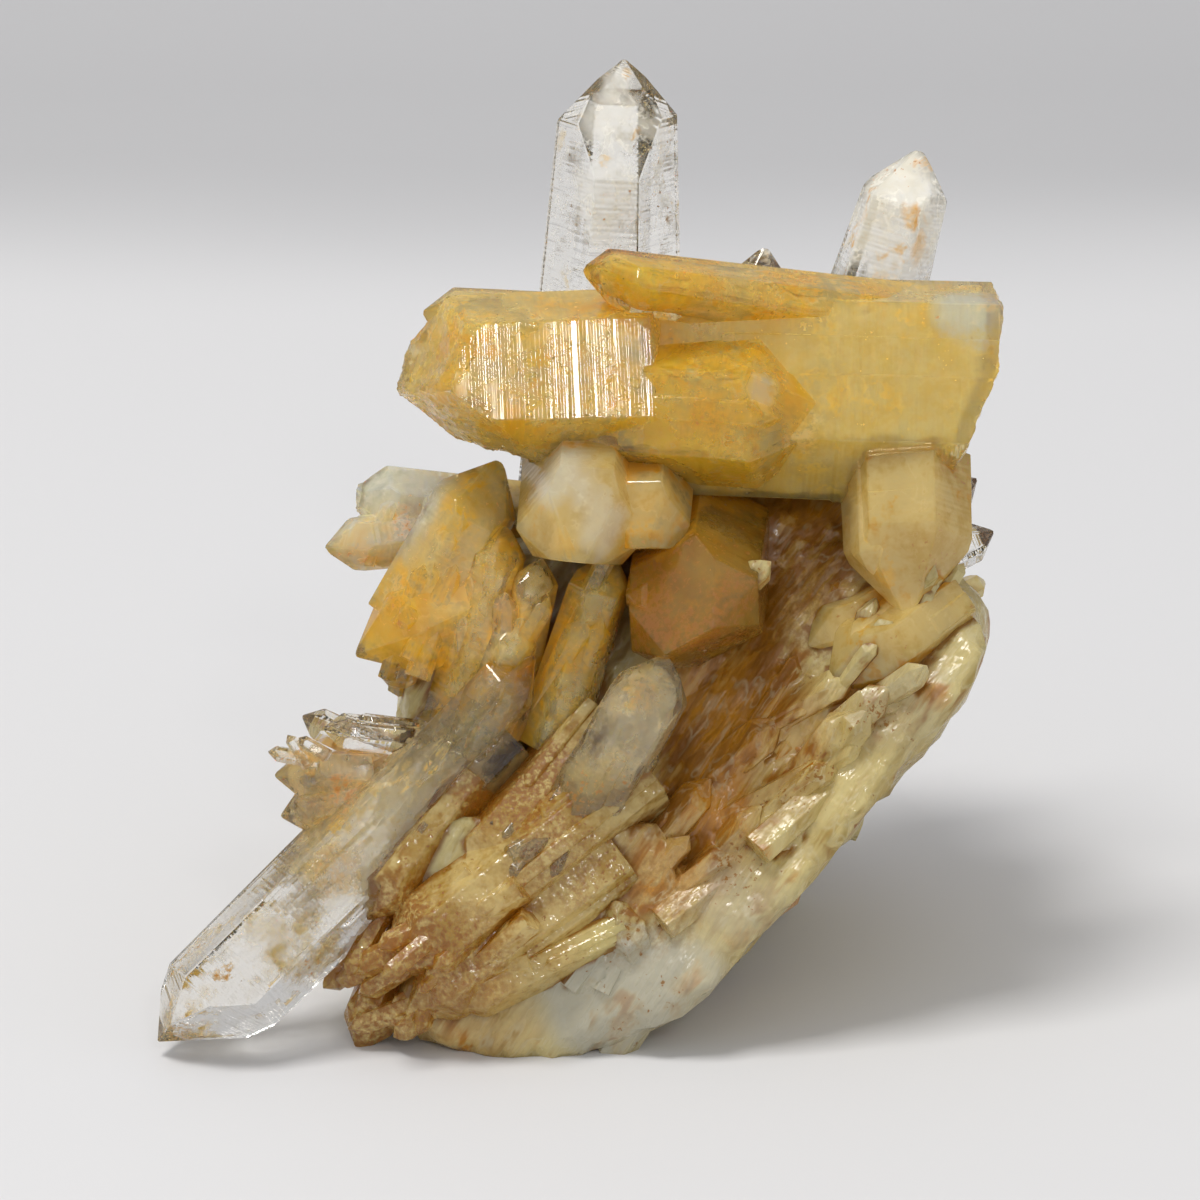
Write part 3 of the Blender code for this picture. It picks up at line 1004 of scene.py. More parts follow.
            # Rust spots and the painted shade of the hollows also darken the clear skin and make it less clear.
            tint = board.mix((rusty + sunk * 0.5).clamped(), tint, self.rust_and_shade_colour)
            full = (milky * self.body + golden * 0.15 + veils * self.veil + rusty + sunk * 0.7).clamped()
            rough = fine.ramp(0.3, 0.8) * self.clear_rough * 2 + rusty * 0.3
            glass = board.node("ShaderNodeBsdfPrincipled", {}, {
                "Base Color": tint, "Roughness": rough, "IOR": QUARTZ_IOR, "Transmission Weight": 1.0, **slope,
            })
            share = 1 - (1 - full) * self.clear_share
            skin = board.node("ShaderNodeMixShader", {}, {0: share, 1: glass.outputs[0], 2: skin.outputs[0]})
        out = board.node("ShaderNodeOutputMaterial", {}, {"Surface": skin.outputs[0]})
        if self.absorb_colour is not None:
            depth = board.node(
                "ShaderNodeVolumeAbsorption", {}, {"Color": self.absorb_colour, "Density": self.absorb_density},
            )
            board.tree.links.new(depth.outputs[0], out.inputs["Volume"])
        piece.data.materials.clear()
        piece.data.materials.append(board.material)


CLEAR = QuartzFinish(
    "clear_quartz", body=0.8, milk_colour=(0.84, 0.82, 0.75), milk_shade=(0.76, 0.72, 0.6),
    absorb_colour=(0.975, 0.965, 0.93), absorb_density=12.0, clear_rough=0.04, sunk=0.4, glow=(1, 0.9, 0.75),
    veil_colour=(0.88, 0.87, 0.82), gold_colour=(0.76, 0.42, 0.06), gold_shade=(0.62, 0.28, 0.02),
    patches=(
        Patch(612, 120, 3.6, Tinge.MILK, 0.6), Patch(612, 80, 2.2, Tinge.MILK, 0.5),
        Patch(605, 200, 4.8, Tinge.MILK, 0.5), Patch(895, 230, 5.5, Tinge.MILK, 0.8),
        Patch(915, 180, 3.0, Tinge.MILK, 0.6), Patch(660, 130, 2.0, Tinge.MILK, 0.4),
        Patch(602, 158, 0.9, Tinge.GOLD, 1.2), Patch(638, 134, 0.7, Tinge.GOLD, 1.0),
        Patch(912, 215, 1.4, Tinge.GOLD, 1.2), Patch(672, 218, 0.9, Tinge.RUST, 1.0),
        Patch(915, 250, 1.5, Tinge.GOLD, 1.0), Patch(880, 185, 0.8, Tinge.GOLD, 1.0),
        Patch(628, 68, 0.9, Tinge.GOLD, 0.9), Patch(930, 165, 0.9, Tinge.GOLD, 0.9),
        Patch(560, 140, 1.0, Tinge.GOLD, 0.8),
    ),
)
HONEY = QuartzFinish(
    "honey_quartz", body=0.22, milk_colour=(0.9, 0.7, 0.24), milk_shade=(0.82, 0.57, 0.1), sunk=0.35,
    clear_share=1.0, lines=0.6, gold_colour=(0.88, 0.58, 0.05), gold_shade=(0.78, 0.42, 0.02),
    milk_rough=0.035, bumps=0.3, veil=0.0, clear_rough=0.012, glow_depth=0.005, glow=(1.0, 0.62, 0.2),
    clear_colour=(0.99, 0.9, 0.58), clear_gold=(0.97, 0.86, 0.5),
    patches=(
        Patch(975, 310, 3.4, Tinge.WHITE, 1.0, 1.0), Patch(975, 310, 3.4, Tinge.MILK, 2.5, 1.0),
        # The white, milky spot at 760, 388 is a painted highlight: the glint of a small facet.
        Patch(760, 388, 1.7, Tinge.WHITE, 1.0), Patch(760, 388, 1.7, Tinge.MILK, 4.0),
        Patch(800, 440, 2.2, Tinge.RUST, 0.5), Patch(720, 430, 2.0, Tinge.RUST, 0.5),
        Patch(770, 300, 1.6, Tinge.RUST, 0.5), Patch(560, 300, 6.0, Tinge.MILK, 0.8),
        Patch(900, 280, 6.0, Tinge.MILK, 0.8), Patch(430, 350, 4.0, Tinge.MILK, 0.8),
        Patch(880, 400, 8.0, Tinge.MILK, 1.2),
    ),
)
GOLDEN_CLOUD = QuartzFinish(
    "golden_cloud", milk_colour=(0.98, 0.82, 0.36), milk_shade=(0.95, 0.7, 0.14), sunk=0, clear_share=0,
    holes=0.35, glow_depth=0.006, glow=(1.0, 0.62, 0.15), gold_colour=(1.0, 0.72, 0.05),
    gold_shade=(0.98, 0.56, 0.012), milk_rough=0.4, bumps=0, veil=0.5, veil_colour=(0.95, 0.88, 0.62),
    rusts=False, glow_share=0.6,
    patches=(
        Patch(650, 290, 5.0, Tinge.GOLD, 1.6), Patch(790, 310, 3.0, Tinge.GOLD, 1.0),
        Patch(560, 375, 6.0, Tinge.GOLD, 0.6), Patch(700, 455, 6.0, Tinge.GOLD, 1.0),
        Patch(590, 440, 3.0, Tinge.GOLD, 0.8), Patch(760, 440, 3.0, Tinge.RUST, 0.4),
        Patch(720, 262, 5.0, Tinge.WHITE, 0.3), Patch(870, 290, 6.0, Tinge.WHITE, 0.25),
        Patch(640, 340, 2.0, Tinge.WHITE, 0.4), Patch(975, 305, 4.0, Tinge.WHITE, 1.0, 2.0),
    ),
)
FROSTED = QuartzFinish(
    "frosted_quartz", milk_colour=(0.68, 0.49, 0.17), milk_shade=(0.54, 0.35, 0.08), clear_share=0.7,
    milk_rough=0.07, glow_depth=0.006, body=0.4, veil=0.1, bumps=0.25, lines=0.6,
    clear_colour=(0.98, 0.93, 0.76),
    patches=(
        Patch(555, 470, 4.0, Tinge.WHITE, 0.5), Patch(600, 520, 3.0, Tinge.WHITE, 0.35),
        Patch(560, 545, 1.6, Tinge.GOLD, 0.7), Patch(640, 560, 2.2, Tinge.GOLD, 0.8),
        Patch(655, 500, 2.0, Tinge.GOLD, 0.5),
    ),
)
STAINED = QuartzFinish(
    "stained_quartz", milk_colour=(0.38, 0.21, 0.025), milk_shade=(0.26, 0.11, 0.004), clear_share=0.7,
    milk_rough=0.08, gold_colour=(0.52, 0.28, 0.03), gold_shade=(0.34, 0.14, 0.006),
    rust_colour=(0.24, 0.085, 0.006), veil_colour=(0.46, 0.32, 0.13), body=0.4, veil=0.1,
    clear_gold=(0.95, 0.82, 0.5), clear_colour=(0.95, 0.84, 0.52),
    patches=(
        Patch(650, 550, 3.0, Tinge.RUST, 1.0), Patch(650, 600, 3.0, Tinge.RUST, 1.2),
        Patch(700, 640, 3.5, Tinge.RUST, 1.2), Patch(735, 590, 3.0, Tinge.RUST, 0.9),
        Patch(655, 565, 4.0, Tinge.GOLD, 0.8), Patch(640, 650, 2.5, Tinge.RUST, 1.2),
    ),
)
COLUMNS = QuartzFinish(
    "yellow_quartz", milk_colour=(0.78, 0.62, 0.24), milk_shade=(0.6, 0.4, 0.06), clear_share=0.9, sunk=0.55,
    gold_colour=(0.86, 0.54, 0.05), gold_shade=(0.72, 0.38, 0.012), rust_and_shade_colour=(0.62, 0.34, 0.03),
    milk_rough=0.06, glow_depth=0.006, glow=(1.0, 0.62, 0.15), body=0.3, veil=0.1,
    clear_gold=(0.95, 0.82, 0.4), clear_colour=(0.98, 0.94, 0.8),
    patches=(
        Patch(400, 640, 4.5, Tinge.GOLD, 0.9), Patch(430, 600, 5.0, Tinge.GOLD, 0.5),
        Patch(395, 490, 8.0, Tinge.WHITE, 0.9), Patch(375, 525, 2.6, Tinge.GOLD, 1.2),
        Patch(350, 545, 2.0, Tinge.GOLD, 1.0), Patch(520, 590, 3.0, Tinge.CLEAR, 0.8),
        Patch(590, 640, 4.0, Tinge.GOLD, 0.5), Patch(410, 520, 1.6, Tinge.RUST, 0.9),
        Patch(400, 590, 2.2, Tinge.RUST, 0.6), Patch(480, 610, 5.0, Tinge.WHITE, 0.35),
        Patch(450, 520, 3.0, Tinge.GOLD, 0.7),
    ),
)
RODS = QuartzFinish(
    "rod_quartz", body=0.35, milk_colour=(0.66, 0.54, 0.26), milk_shade=(0.46, 0.32, 0.1), clear_share=1.0,
    sunk=0.6, clear_rough=0.03, milk_rough=0.05, veil_colour=(0.8, 0.74, 0.56), veil=0.15, lines=0.8,
    rust_and_shade_colour=(0.36, 0.16, 0.01),
    patches=(
        Patch(210, 1000, 7.0, Tinge.CLEAR, 0.7), Patch(500, 680, 5.0, Tinge.CLEAR, 0.4),
        Patch(520, 670, 3.0, Tinge.WHITE, 0.5), Patch(380, 800, 8.0, Tinge.WHITE, 0.25),
        Patch(350, 790, 2.0, Tinge.RUST, 1.0), Patch(175, 1035, 2.4, Tinge.RUST, 0.7),
        Patch(520, 860, 7.0, Tinge.RUST, 0.5), Patch(222, 975, 0.9, Tinge.RUST, 1.2),
        Patch(480, 800, 3.0, Tinge.GOLD, 0.6), Patch(540, 740, 2.5, Tinge.GOLD, 0.7),
        Patch(330, 870, 2.5, Tinge.RUST, 0.6), Patch(400, 870, 2.5, Tinge.RUST, 0.6),
        Patch(650, 740, 4.0, Tinge.WHITE, 0.25), Patch(640, 690, 2.0, Tinge.RUST, 0.7),
    ),
)
EARTHY = QuartzFinish(
    "earthy_quartz", milk_colour=(0.5, 0.37, 0.14), milk_shade=(0.32, 0.19, 0.035), clear_share=0,
    milk_rough=0.12, gold_colour=(0.36, 0.18, 0.015), gold_shade=(0.22, 0.085, 0.004),
    rust_and_shade_colour=(0.24, 0.09, 0.004), rust_colour=(0.24, 0.09, 0.006), veil_colour=(0.52, 0.4, 0.19),
    bumps=0.4, grit=0.6, lines=0.25, glow_share=0.5,
    patches=(
        Patch(370, 1010, 6.0, Tinge.RUST, 1.2), Patch(400, 930, 5.0, Tinge.RUST, 1.3),
        Patch(520, 780, 6.0, Tinge.RUST, 0.8), Patch(450, 960, 6.0, Tinge.RUST, 0.8),
        Patch(620, 945, 4.5, Tinge.WHITE, 0.5), Patch(470, 1010, 5.0, Tinge.GOLD, 0.7),
        Patch(560, 860, 5.0, Tinge.RUST, 0.7), Patch(500, 770, 6.0, Tinge.RUST, 1.0),
    ),
    white_colour=(0.62, 0.52, 0.2),
)
MATRIX_FINISH = QuartzFinish(
    "milky_matrix", milk_colour=(0.56, 0.46, 0.2), milk_shade=(0.38, 0.27, 0.07), bumps=0.5, cloud_scale=0.12,
    clear_share=0, gold_colour=(0.5, 0.2, 0.002), gold_shade=(0.22, 0.07, 0.0005), grit=0.9,
    fibre=(0.55, 0.25, 0.8), milk_rough=0.34, rust_and_shade_colour=(0.22, 0.08, 0.001), rust_colour=(0.24, 0.1, 0.006),
    white_colour=(0.42, 0.39, 0.29), veil_colour=(0.6, 0.55, 0.36), lines=0.2, glow_share=0.25,
    patches=(
        Patch(790, 550, 9.0, Tinge.GOLD, 1.4), Patch(720, 680, 8.0, Tinge.GOLD, 1.3),
        Patch(760, 740, 8.0, Tinge.GOLD, 0.7), Patch(700, 760, 6.0, Tinge.GOLD, 0.8),
        Patch(720, 640, 6.0, Tinge.RUST, 0.8), Patch(800, 620, 6.0, Tinge.RUST, 0.7),
        Patch(680, 840, 8.0, Tinge.GOLD, 0.9), Patch(640, 900, 6.0, Tinge.RUST, 0.5),
        Patch(600, 1000, 7.5, Tinge.WHITE, 1.0), Patch(740, 900, 5.0, Tinge.WHITE, 0.5),
        Patch(680, 990, 6.0, Tinge.WHITE, 0.8), Patch(450, 1020, 8.0, Tinge.GOLD, 0.6),
        Patch(900, 700, 5.0, Tinge.WHITE, 0.3),
    ),
)


PALE_CLOUD = replace(
    GOLDEN_CLOUD, name="pale_cloud", milk_colour=(0.94, 0.74, 0.34), milk_shade=(0.8, 0.55, 0.16), holes=0,
    patches=(
        Patch(555, 470, 4.0, Tinge.WHITE, 0.6), Patch(600, 520, 3.0, Tinge.WHITE, 0.4),
        Patch(655, 500, 2.0, Tinge.GOLD, 0.6),
    ),
)
BROWN_CLOUD = replace(
    GOLDEN_CLOUD, name="brown_cloud", milk_colour=(0.66, 0.4, 0.06), milk_shade=(0.42, 0.2, 0.004), holes=0,
    gold_colour=(0.5, 0.24, 0.01), gold_shade=(0.36, 0.14, 0.003), veil_colour=(0.7, 0.52, 0.26), patches=(),
)
YELLOW_CLOUD = replace(
    GOLDEN_CLOUD, name="yellow_cloud", milk_colour=(0.96, 0.78, 0.36), milk_shade=(0.92, 0.61, 0.1), holes=0,
    patches=(
        Patch(400, 640, 5.0, Tinge.GOLD, 1.2), Patch(395, 490, 8.0, Tinge.WHITE, 1.0),
        Patch(590, 640, 4.0, Tinge.GOLD, 0.6),
    ),
)
ROD_CLOUD = replace(
    GOLDEN_CLOUD, name="rod_cloud", milk_colour=(0.94, 0.8, 0.5), milk_shade=(0.8, 0.61, 0.25), holes=1.0,
    veil_colour=(0.9, 0.86, 0.72),
    patches=(
        Patch(215, 1000, 7.0, Tinge.CLEAR, 1.0), Patch(520, 680, 4.0, Tinge.CLEAR, 0.7),
        Patch(400, 840, 9.0, Tinge.MILK, 0.7), Patch(640, 740, 5.0, Tinge.MILK, 0.6),
        Patch(270, 940, 2.5, Tinge.MILK, 0.6), Patch(480, 800, 3.0, Tinge.GOLD, 0.6),
    ),
)


@dataclass
class Group:
    """A group of crystals that share one finish and are grown together into one piece."""

    name: str
    finish: QuartzFinish
    crystals: tuple[Crystal, ...]
    fringes: tuple[Fringe, ...] = ()
    piece: Optional[bpy.types.Object] = None

    def fringe(self, finder: FrontFinder) -> None:
        """Adds the group's strewn crystals to it."""
        self.crystals += tuple(crystal for fringe in self.fringes for crystal in fringe.crystals(finder))

    def shape(self, grower: Grower) -> bpy.types.Object:
        """Cuts and joins the group.

        Args:
            grower: What cuts and joins.

        Returns:
            The piece, without a finish.
        """
        self.piece = grower.join(self.name, grower.crystals(self.name, self.crystals))
        return self.piece

    def settle(self, finder: FrontFinder) -> None:
        """Dresses the piece and ties it to the frame.

        Args:
            finder: What finds the surface behind a point of the view.
        """
        self.finish.dress(self.piece, finder)
        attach(self.piece, BODY)
        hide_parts(NODE)
        LOG.info("%s: %d crystals, %d faces", self.name, len(self.crystals), len(self.piece.data.polygons))


@dataclass
class Phantom(Group):
    """An earlier stage of crystals that grew on clear, which shows through their skin as a cloud inside them."""

    depth: float = 1.1
    tip_depth: float = 1.5
    ragged: float = 0.5
    swell_scale: float = 0.35
    swell_middle: float = 0.3
    longest: float = 1.2

    def __post_init__(self) -> None:
        """Draws every crystal in by the depth of its clear skin."""
        drawn = []
        for crystal in self.crystals:
            foot, tip = Vector(crystal.foot), Vector(crystal.tip)
            tip = tip - (tip - foot).normalized() * self.depth * self.tip_depth
            breaks = tuple(
                (tuple(Vector(place) - Vector(facing).normalized() * self.depth), facing)
                for place, facing in crystal.breaks
            )
            drawn.append(replace(
                crystal, tip=tuple(tip), wide=crystal.wide - 2 * self.depth, deep=crystal.deep - 2 * self.depth,
                breaks=breaks, ledges=0, steps=0,
            ))
        self.crystals = tuple(drawn)

    def shape(self, grower: Grower) -> bpy.types.Object:
        """Joins the phantoms, and pushes their skin in and out a little, never past the clear skin.

        Args:
            grower: What cuts and joins.

        Returns:
            The piece, without a finish.
        """
        super().shape(grower)
        bm = bmesh.new()
        bm.from_mesh(self.piece.data)
        shorten(bm, self.longest)
        bm.normal_update()
        pushes = []
        for vert in bm.verts:
            swell = noise.fractal(vert.co / MM * self.swell_scale, 0.8, 2.0, 4) - self.swell_middle
            pushes.append((vert, vert.normal * swell * self.ragged * MM))
        for vert, push in pushes:
            vert.co += push
        for face in bm.faces:
            face.smooth = True
        bm.to_mesh(self.piece.data)
        bm.free()
        return self.piece


# The two clear spires that rise behind the rest, the top of a smaller one, and two small ones at the right.
SPIRES = (
    Crystal(
        (0.1, 10.0, 42), (1.9, 51.4, 30), 14.4, 15.8, 2, (3.5, 0.5, 0.5, 0.4, 1.6, 1.2), 3.4,
        look=Look(0.34, 0.1, 0.05), ledges=2,
    ),
    Crystal(
        (21.2, 12.0, 38), (30.3, 42.8, 30), 10.6, 8.6, -14, (1.8, 0.0, 0.4, 0.6, 0.2, 1.2), 3.4,
        look=Look(0.5, 0.18, 0.1), ledges=2,
    ),
    Crystal(
        (12.0, 12.0, 38), (15.7, 33.5, 32), 6.4, 6.8, 8, (1.2, 0.6, 0, 0.4, 0.2, 0.9), 2.0,
        look=Look(0.4, 0.3, 0.2),
    ),
    Crystal(
        (24.0, 0.0, 30), (37.6, 6.6, 32), 4.8, 4.6, 12, (0.5, 0.2, 0, 0, 0, 0.4), 1.0, look=Look(0.25, 0.02, 0.02),
    ),
    Crystal(
        (24.0, 4.0, 30), (36.0, 11.6, 31), 4.4, 4.2, 0, (0.5, 0.2, 0, 0, 0, 0.4), 1.0, look=Look(0.25, 0.02, 0.02),
    ),
)

# The honey crystals that lie across the top. Two end in a break.
TOP_CRYSTALS = (
    Crystal(
        (34.0, 25.8, 10.5), (-1.4, 30.9, -2), 7.0, 8.0, 6, (0.8, 0.2, 0, 0, 1.0, 2.6), 1.6,
        look=Look(0.45, 0.7, 0.05), ledges=1,
    ),
    Crystal(
        (18.0, 21.8, 6), (-26.0, 20.4, 0.6), 17.0, 13.0, 5, (1.0, 0.4, 0, 0, 0, 0.6), 0.4,
        (
            ((4.7, 22, -4), (1, 0.08, -0.25)),
            ((-18.4, 22, 7), (-0.95, 0.30, -0.45)),
            ((-16.2, 18.6, 4), (-0.60, -0.80, -0.25)),
            ((-11.0, 15.8, 2), (-0.42, -0.91, -0.20)),
        ),
        Look(0.62, 0.55, 0.05), 0,
    ),
    Crystal(
        (15.0, 25.0, 8), (-16.9, 27.0, 5), 6.6, 7.0, 10, (0.8, 0.2, 0, 0, 0.4, 1.6), 0.5,
        look=Look(0.8, 0.2, 0.05), ledges=1,
    ),
    Crystal(
        (-6.0, 19.4, 6), (23.0, 17.3, 0.8), 15.0, 12.0, 8, (1.6, 0.4, 0, 0, 0.2, 0.8), 0.3,
        look=Look(0.5, 0.85, 0.12), ledges=1,
    ),
    Crystal(
        (44.0, 19.4, 8.5), (-5.0, 20.8, 7), 22.4, 15.0, 12, (2, 1, 0, 0, 0, 2), 0.3,
        (((38.0, 27, 3), (1.0, -0.08, 0.05)), ((35.0, 16, 3), (0.92, -0.38, 0.1))), Look(0.8, 0.3, 0.03), 3,
    ),
)

# The pale blunt crystals that point at the viewer under the top ones.
BLUNT_CRYSTALS = (
    Crystal(
        (-1.0, 14.4, 9), (-2.2, 3.0, -5), 12.6, 13.0, 0, (1.0, 0.2, 0, 2.8, 0.3, 0.6), 1.0,
        look=Look(0.95, 0.05, 0.02),
    ),
    Crystal((5.0, 14.0, 10), (4.2, 4.6, -3), 8.6, 9.0, 8, (1, 0, 0, 2, 0, 1), 1.0, look=Look(0.8, 0.3, 0.1)),
    Crystal(
        (10.0, 5.4, 12), (8.6, -4.0, -5), 14.4, 12.8, -18, (0.6, 3.4, 0.4, 0.2, 3.6, 0.8), 1.0,
        look=Look(0.65, 0.35, 0.5), ledges=1,
    ),
)

# The upright yellow columns left of the middle, and the pale ones further left.
COLUMN_CRYSTALS = (
    Crystal(
        (-18.2, -2.4, 8), (-9.6, 13.2, 6), 8.8, 8.0, 12, (2.0, 0.6, 0, 0, 0.4, 1.2), 1.0,
        look=Look(0.75, 0.35, 0.2), ledges=2,
    ),
    Crystal(
        (-10.0, 1.0, 9), (-23.2, -5.2, 5), 9.8, 9.0, 20, (1.6, 0.8, 0.4, 0, 0.6, 1.6), 0.8,
        look=Look(0.7, 0.75, 0.1), ledges=2,
    ),
    Crystal(
        (-9.0, -2.0, 9), (-21.6, -0.6, 7), 6.0, 6.0, 5, (0.8, 0.4, 0.2, 0, 0.3, 0.8), 0.8,
        look=Look(0.6, 0.8, 0.1), ledges=1,
    ),
    Crystal(
        (-15.0, -16.0, 8), (-9.0, 7.0, 4), 6.0, 6.4, 10, (1.2, 0, 0, 0, 0, 0.8), 1.6, look=Look(0.5, 0.55, 0.1),
        ledges=2,
    ),
    Crystal(
        (-10.0, -14.0, 8), (-5.6, 4.0, 3), 5.0, 5.4, -10, (0.8, 0, 0, 0, 0, 0.5), 1.4, look=Look(0.35, 0.4, 0.1),
        ledges=1,
    ),
    Crystal(
        (-12.0, -14.0, 6), (-7.4, -1.8, 1), 4.8, 5.0, 6, (0.9, 0.2, 0, 0, 0, 0.2), 1.2, look=Look(0.6, 0.5, 0.05),
        ledges=1,
    ),
    Crystal(
        (-5.0, -14.0, 6), (1.0, 4.6, 3), 6.4, 6.0, 14, (0.8, 0, 0, 0, 0, 1.2), 1.2, look=Look(0.5, 0.6, 0.15),
        ledges=2,
    ),
    Crystal(
        (-5.0, 7.4, 18), (-24.4, 9.8, 13), 7.6, 7.0, -12, (0.8, 0.2, 0, 0, 0, 0.8), 0.6,
        (((-22.9, 10, 13), (-1, 0.15, 0)),), Look(0.85, 0.1, 0.05), 1,
    ),
    Crystal(
        (-12.0, 6.5, 16), (-26.2, 5.0, 11), 5.8, 6.0, 16, (0.8, 0.4, 0, 0, 0, 0.8), 0.8, look=Look(0.8, 0.2, 0.1),
        ledges=1,
    ),
)

# The long crystals that run from the low left front up to the middle: three clear rods, the earthy bundle
# under them, the pale one beside it, and one more of the bundle.
FRONT_CRYSTALS = (
    Crystal(
        (-10.0, -12.0, 7), (-41.4, -42.8, 0.6), 11.8, 8.8, 6, (3.0, 2.2, 0, 0, 2.6, 5.0), 0.6,
        look=Look(0.42, 0.1, 0.12), ledges=4,
    ),
    Crystal(
        (-14.0, -16.0, 4), (-36.0, -36.4, 1), 6.6, 6.0, -8, (1.6, 1.2, 0, 0, 0, 0.8), 0.6,
        look=Look(0.4, 0.12, 0.12), ledges=2,
    ),
    Crystal(
        (-22.0, -22.0, 4), (-6.1, -5.4, 1), 6.8, 7.4, 24, (1.2, 0.8, 0, 0, 0.4, 0.6), 0.6,
        look=Look(0.35, 0.1, 0.12), ledges=2,
    ),
    Crystal(
        (-12.0, -17.0, 4), (-22.4, -30.4, 1), 5.6, 6.4, 8, (0.8, 0.4, 0, 0, 0, 0.6), 0.4,
        look=Look(0.55, 0.25, 0.3), ledges=2,
    ),
    Crystal(
        (-17.0, -28.0, 9), (-23.1, -43.0, 5), 5.6, 6.0, 14, (0.8, 0.4, 0, 0, 0, 0.6), 0.4,
        look=Look(0.6, 0.4, 0.5), ledges=2,
    ),
    Crystal(
        (4.0, -16.0, 4), (-20.4, -35.5, 0), 9.5, 8.6, -6, (2.0, 1.6, 0, 0, 0, 1.2), 0.3,
        look=Look(0.75, 0.15, 0.3), ledges=3,
    ),
    Crystal(
        (2.0, -24.5, 3.5), (-18.5, -39.5, 1), 7.5, 7.0, 8, (1.2, 0.8, 0, 0, 0, 1.0), 0.4,
        look=Look(0.75, 0.15, 0.35), ledges=3,
    ),
    Crystal(
        (2.0, -31.0, 3), (-14.0, -38.8, 0.5), 5.0, 5.0, 0, (0.8, 0.4, 0, 0, 0, 0.4), 0.6,
        look=Look(0.7, 0.2, 0.35), ledges=2,
    ),
    Crystal(
        (-2.6, -22.0, 3), (6.4, -5.8, -3), 8.0, 6.6, 18, (2.6, 0.2, 0, 0, 0.2, 1.4), 0.8,
        look=Look(0.6, 0.1, 0.15), ledges=2,
    ),
    Crystal(
        (0.0, -11.0, 6), (-13.5, -27.5, 1.5), 7.0, 7.0, 12, (1.4, 0.8, 0, 0, 0, 0.8), 0.4,
        look=Look(0.7, 0.2, 0.35), ledges=2,
    ),
)

CLEAR_RODS = FRONT_CRYSTALS[:3] + FRONT_CRYSTALS[8:9]
EARTHY_RODS = FRONT_CRYSTALS[3:8] + FRONT_CRYSTALS[9:]

# Slim crystals between the columns, splinters on the long front ones, and ridges on the matrix.
COLUMN_FRINGES = (
    Fringe(
        (390, 650), (600, 640), 45, (0.28, 0.95, -0.1), 16, (1.8, 3.6), (6, 12), Look(0.6, 0.55, 0.2), (0.3, 1.4),
        seed=4,
    ),
    Fringe((372, 560), (470, 540), 40, (0.45, 0.85, -0.1), 8, (1.6, 3.0), (5, 9), Look(0.75, 0.4, 0.15), seed=7),
)
ROD_FRINGES = (
    Fringe(
        (330, 890), (480, 730), 26, (-0.66, -0.75, 0), 9, (1.4, 2.8), (7, 14), Look(0.45, 0.15, 0.3), (0.1, 0.6),
        0.08, 9,
    ),
    Fringe(
        (300, 745), (345, 800), 22, (-0.8, 0.35, 0), 9, (1.2, 2.4), (3, 5), Look(0.5, 0.2, 0.15), stray=0.5,
        seed=12,
    ),
    Fringe(
        (520, 720), (560, 840), 26, (-0.55, -0.83, 0), 8, (1.4, 2.8), (6, 12), Look(0.55, 0.4, 0.45), (0.1, 0.8),
        0.12, 15,
    ),
)
EARTHY_FRINGES = (
    Fringe(
        (400, 990), (600, 850), 66, (-0.74, -0.56, 0), 22, (1.4, 3.0), (10, 20), Look(0.7, 0.35, 0.4),
        (-0.2, 0.5), 0.05, 21,
    ),
    Fringe((370, 940), (400, 1010), 24, (-0.4, -0.8, 0), 6, (1.6, 2.8), (5, 8), Look(0.6, 0.5, 0.6), seed=26),
)
RIDGE_FRINGES = (
    Fringe(
        (640, 950), (900, 650), 40, (0.60, 0.80, 0), 26, (2.0, 4.2), (12, 22), Look(0.8, 0.2, 0.2), (-0.1, 0.5),
        0.06, 31,
    ),
    Fringe(
        (700, 800), (800, 620), 46, (0.55, 0.83, 0), 18, (1.8, 3.8), (9, 18), Look(0.7, 0.6, 0.4), (0.0, 0.6),
        0.08, 35,
    ),
    Fringe(
        (860, 640), (960, 600), 30, (0.45, 0.85, 0), 8, (1.8, 3.4), (6, 10), Look(0.8, 0.3, 0.2), (0.1, 0.7),
        0.14, 38,
    ),
)

# The small crystals and knobs on the far left.
KNOB_CRYSTALS = (
    Crystal(
        (-15.0, -13.6, 6), (-26.4, -12.2, 3), 3.6, 3.6, 10, (0.4, 0.2, 0, 0, 0, 0.3), 0.5,
        look=Look(0.3, 0.1, 0.1), ledges=1,
    ),
    Crystal(
        (-22.0, -16.8, 6), (-31.0, -16.6, 4), 5.4, 5.0, 24, (0.6, 0.2, 0, 0, 0, 0.3), 0.5,
        look=Look(0.6, 0.1, 0.1), ledges=2,
    ),
    Crystal(
        (-22.0, -18.6, 6), (-30.4, -20.6, 4), 4.6, 4.6, 0, (0.6, 0.2, 0, 0, 0, 0.3), 0.5,
        look=Look(0.6, 0.15, 0.1), ledges=2,
    ),
    Crystal(
        (-20.0, -15.0, 7), (-28.4, -11.0, 5), 3.4, 3.4, 14, (0.3, 0.2, 0, 0, 0, 0.3), 0.5,
        look=Look(0.4, 0.05, 0.05), ledges=1,
    ),
)

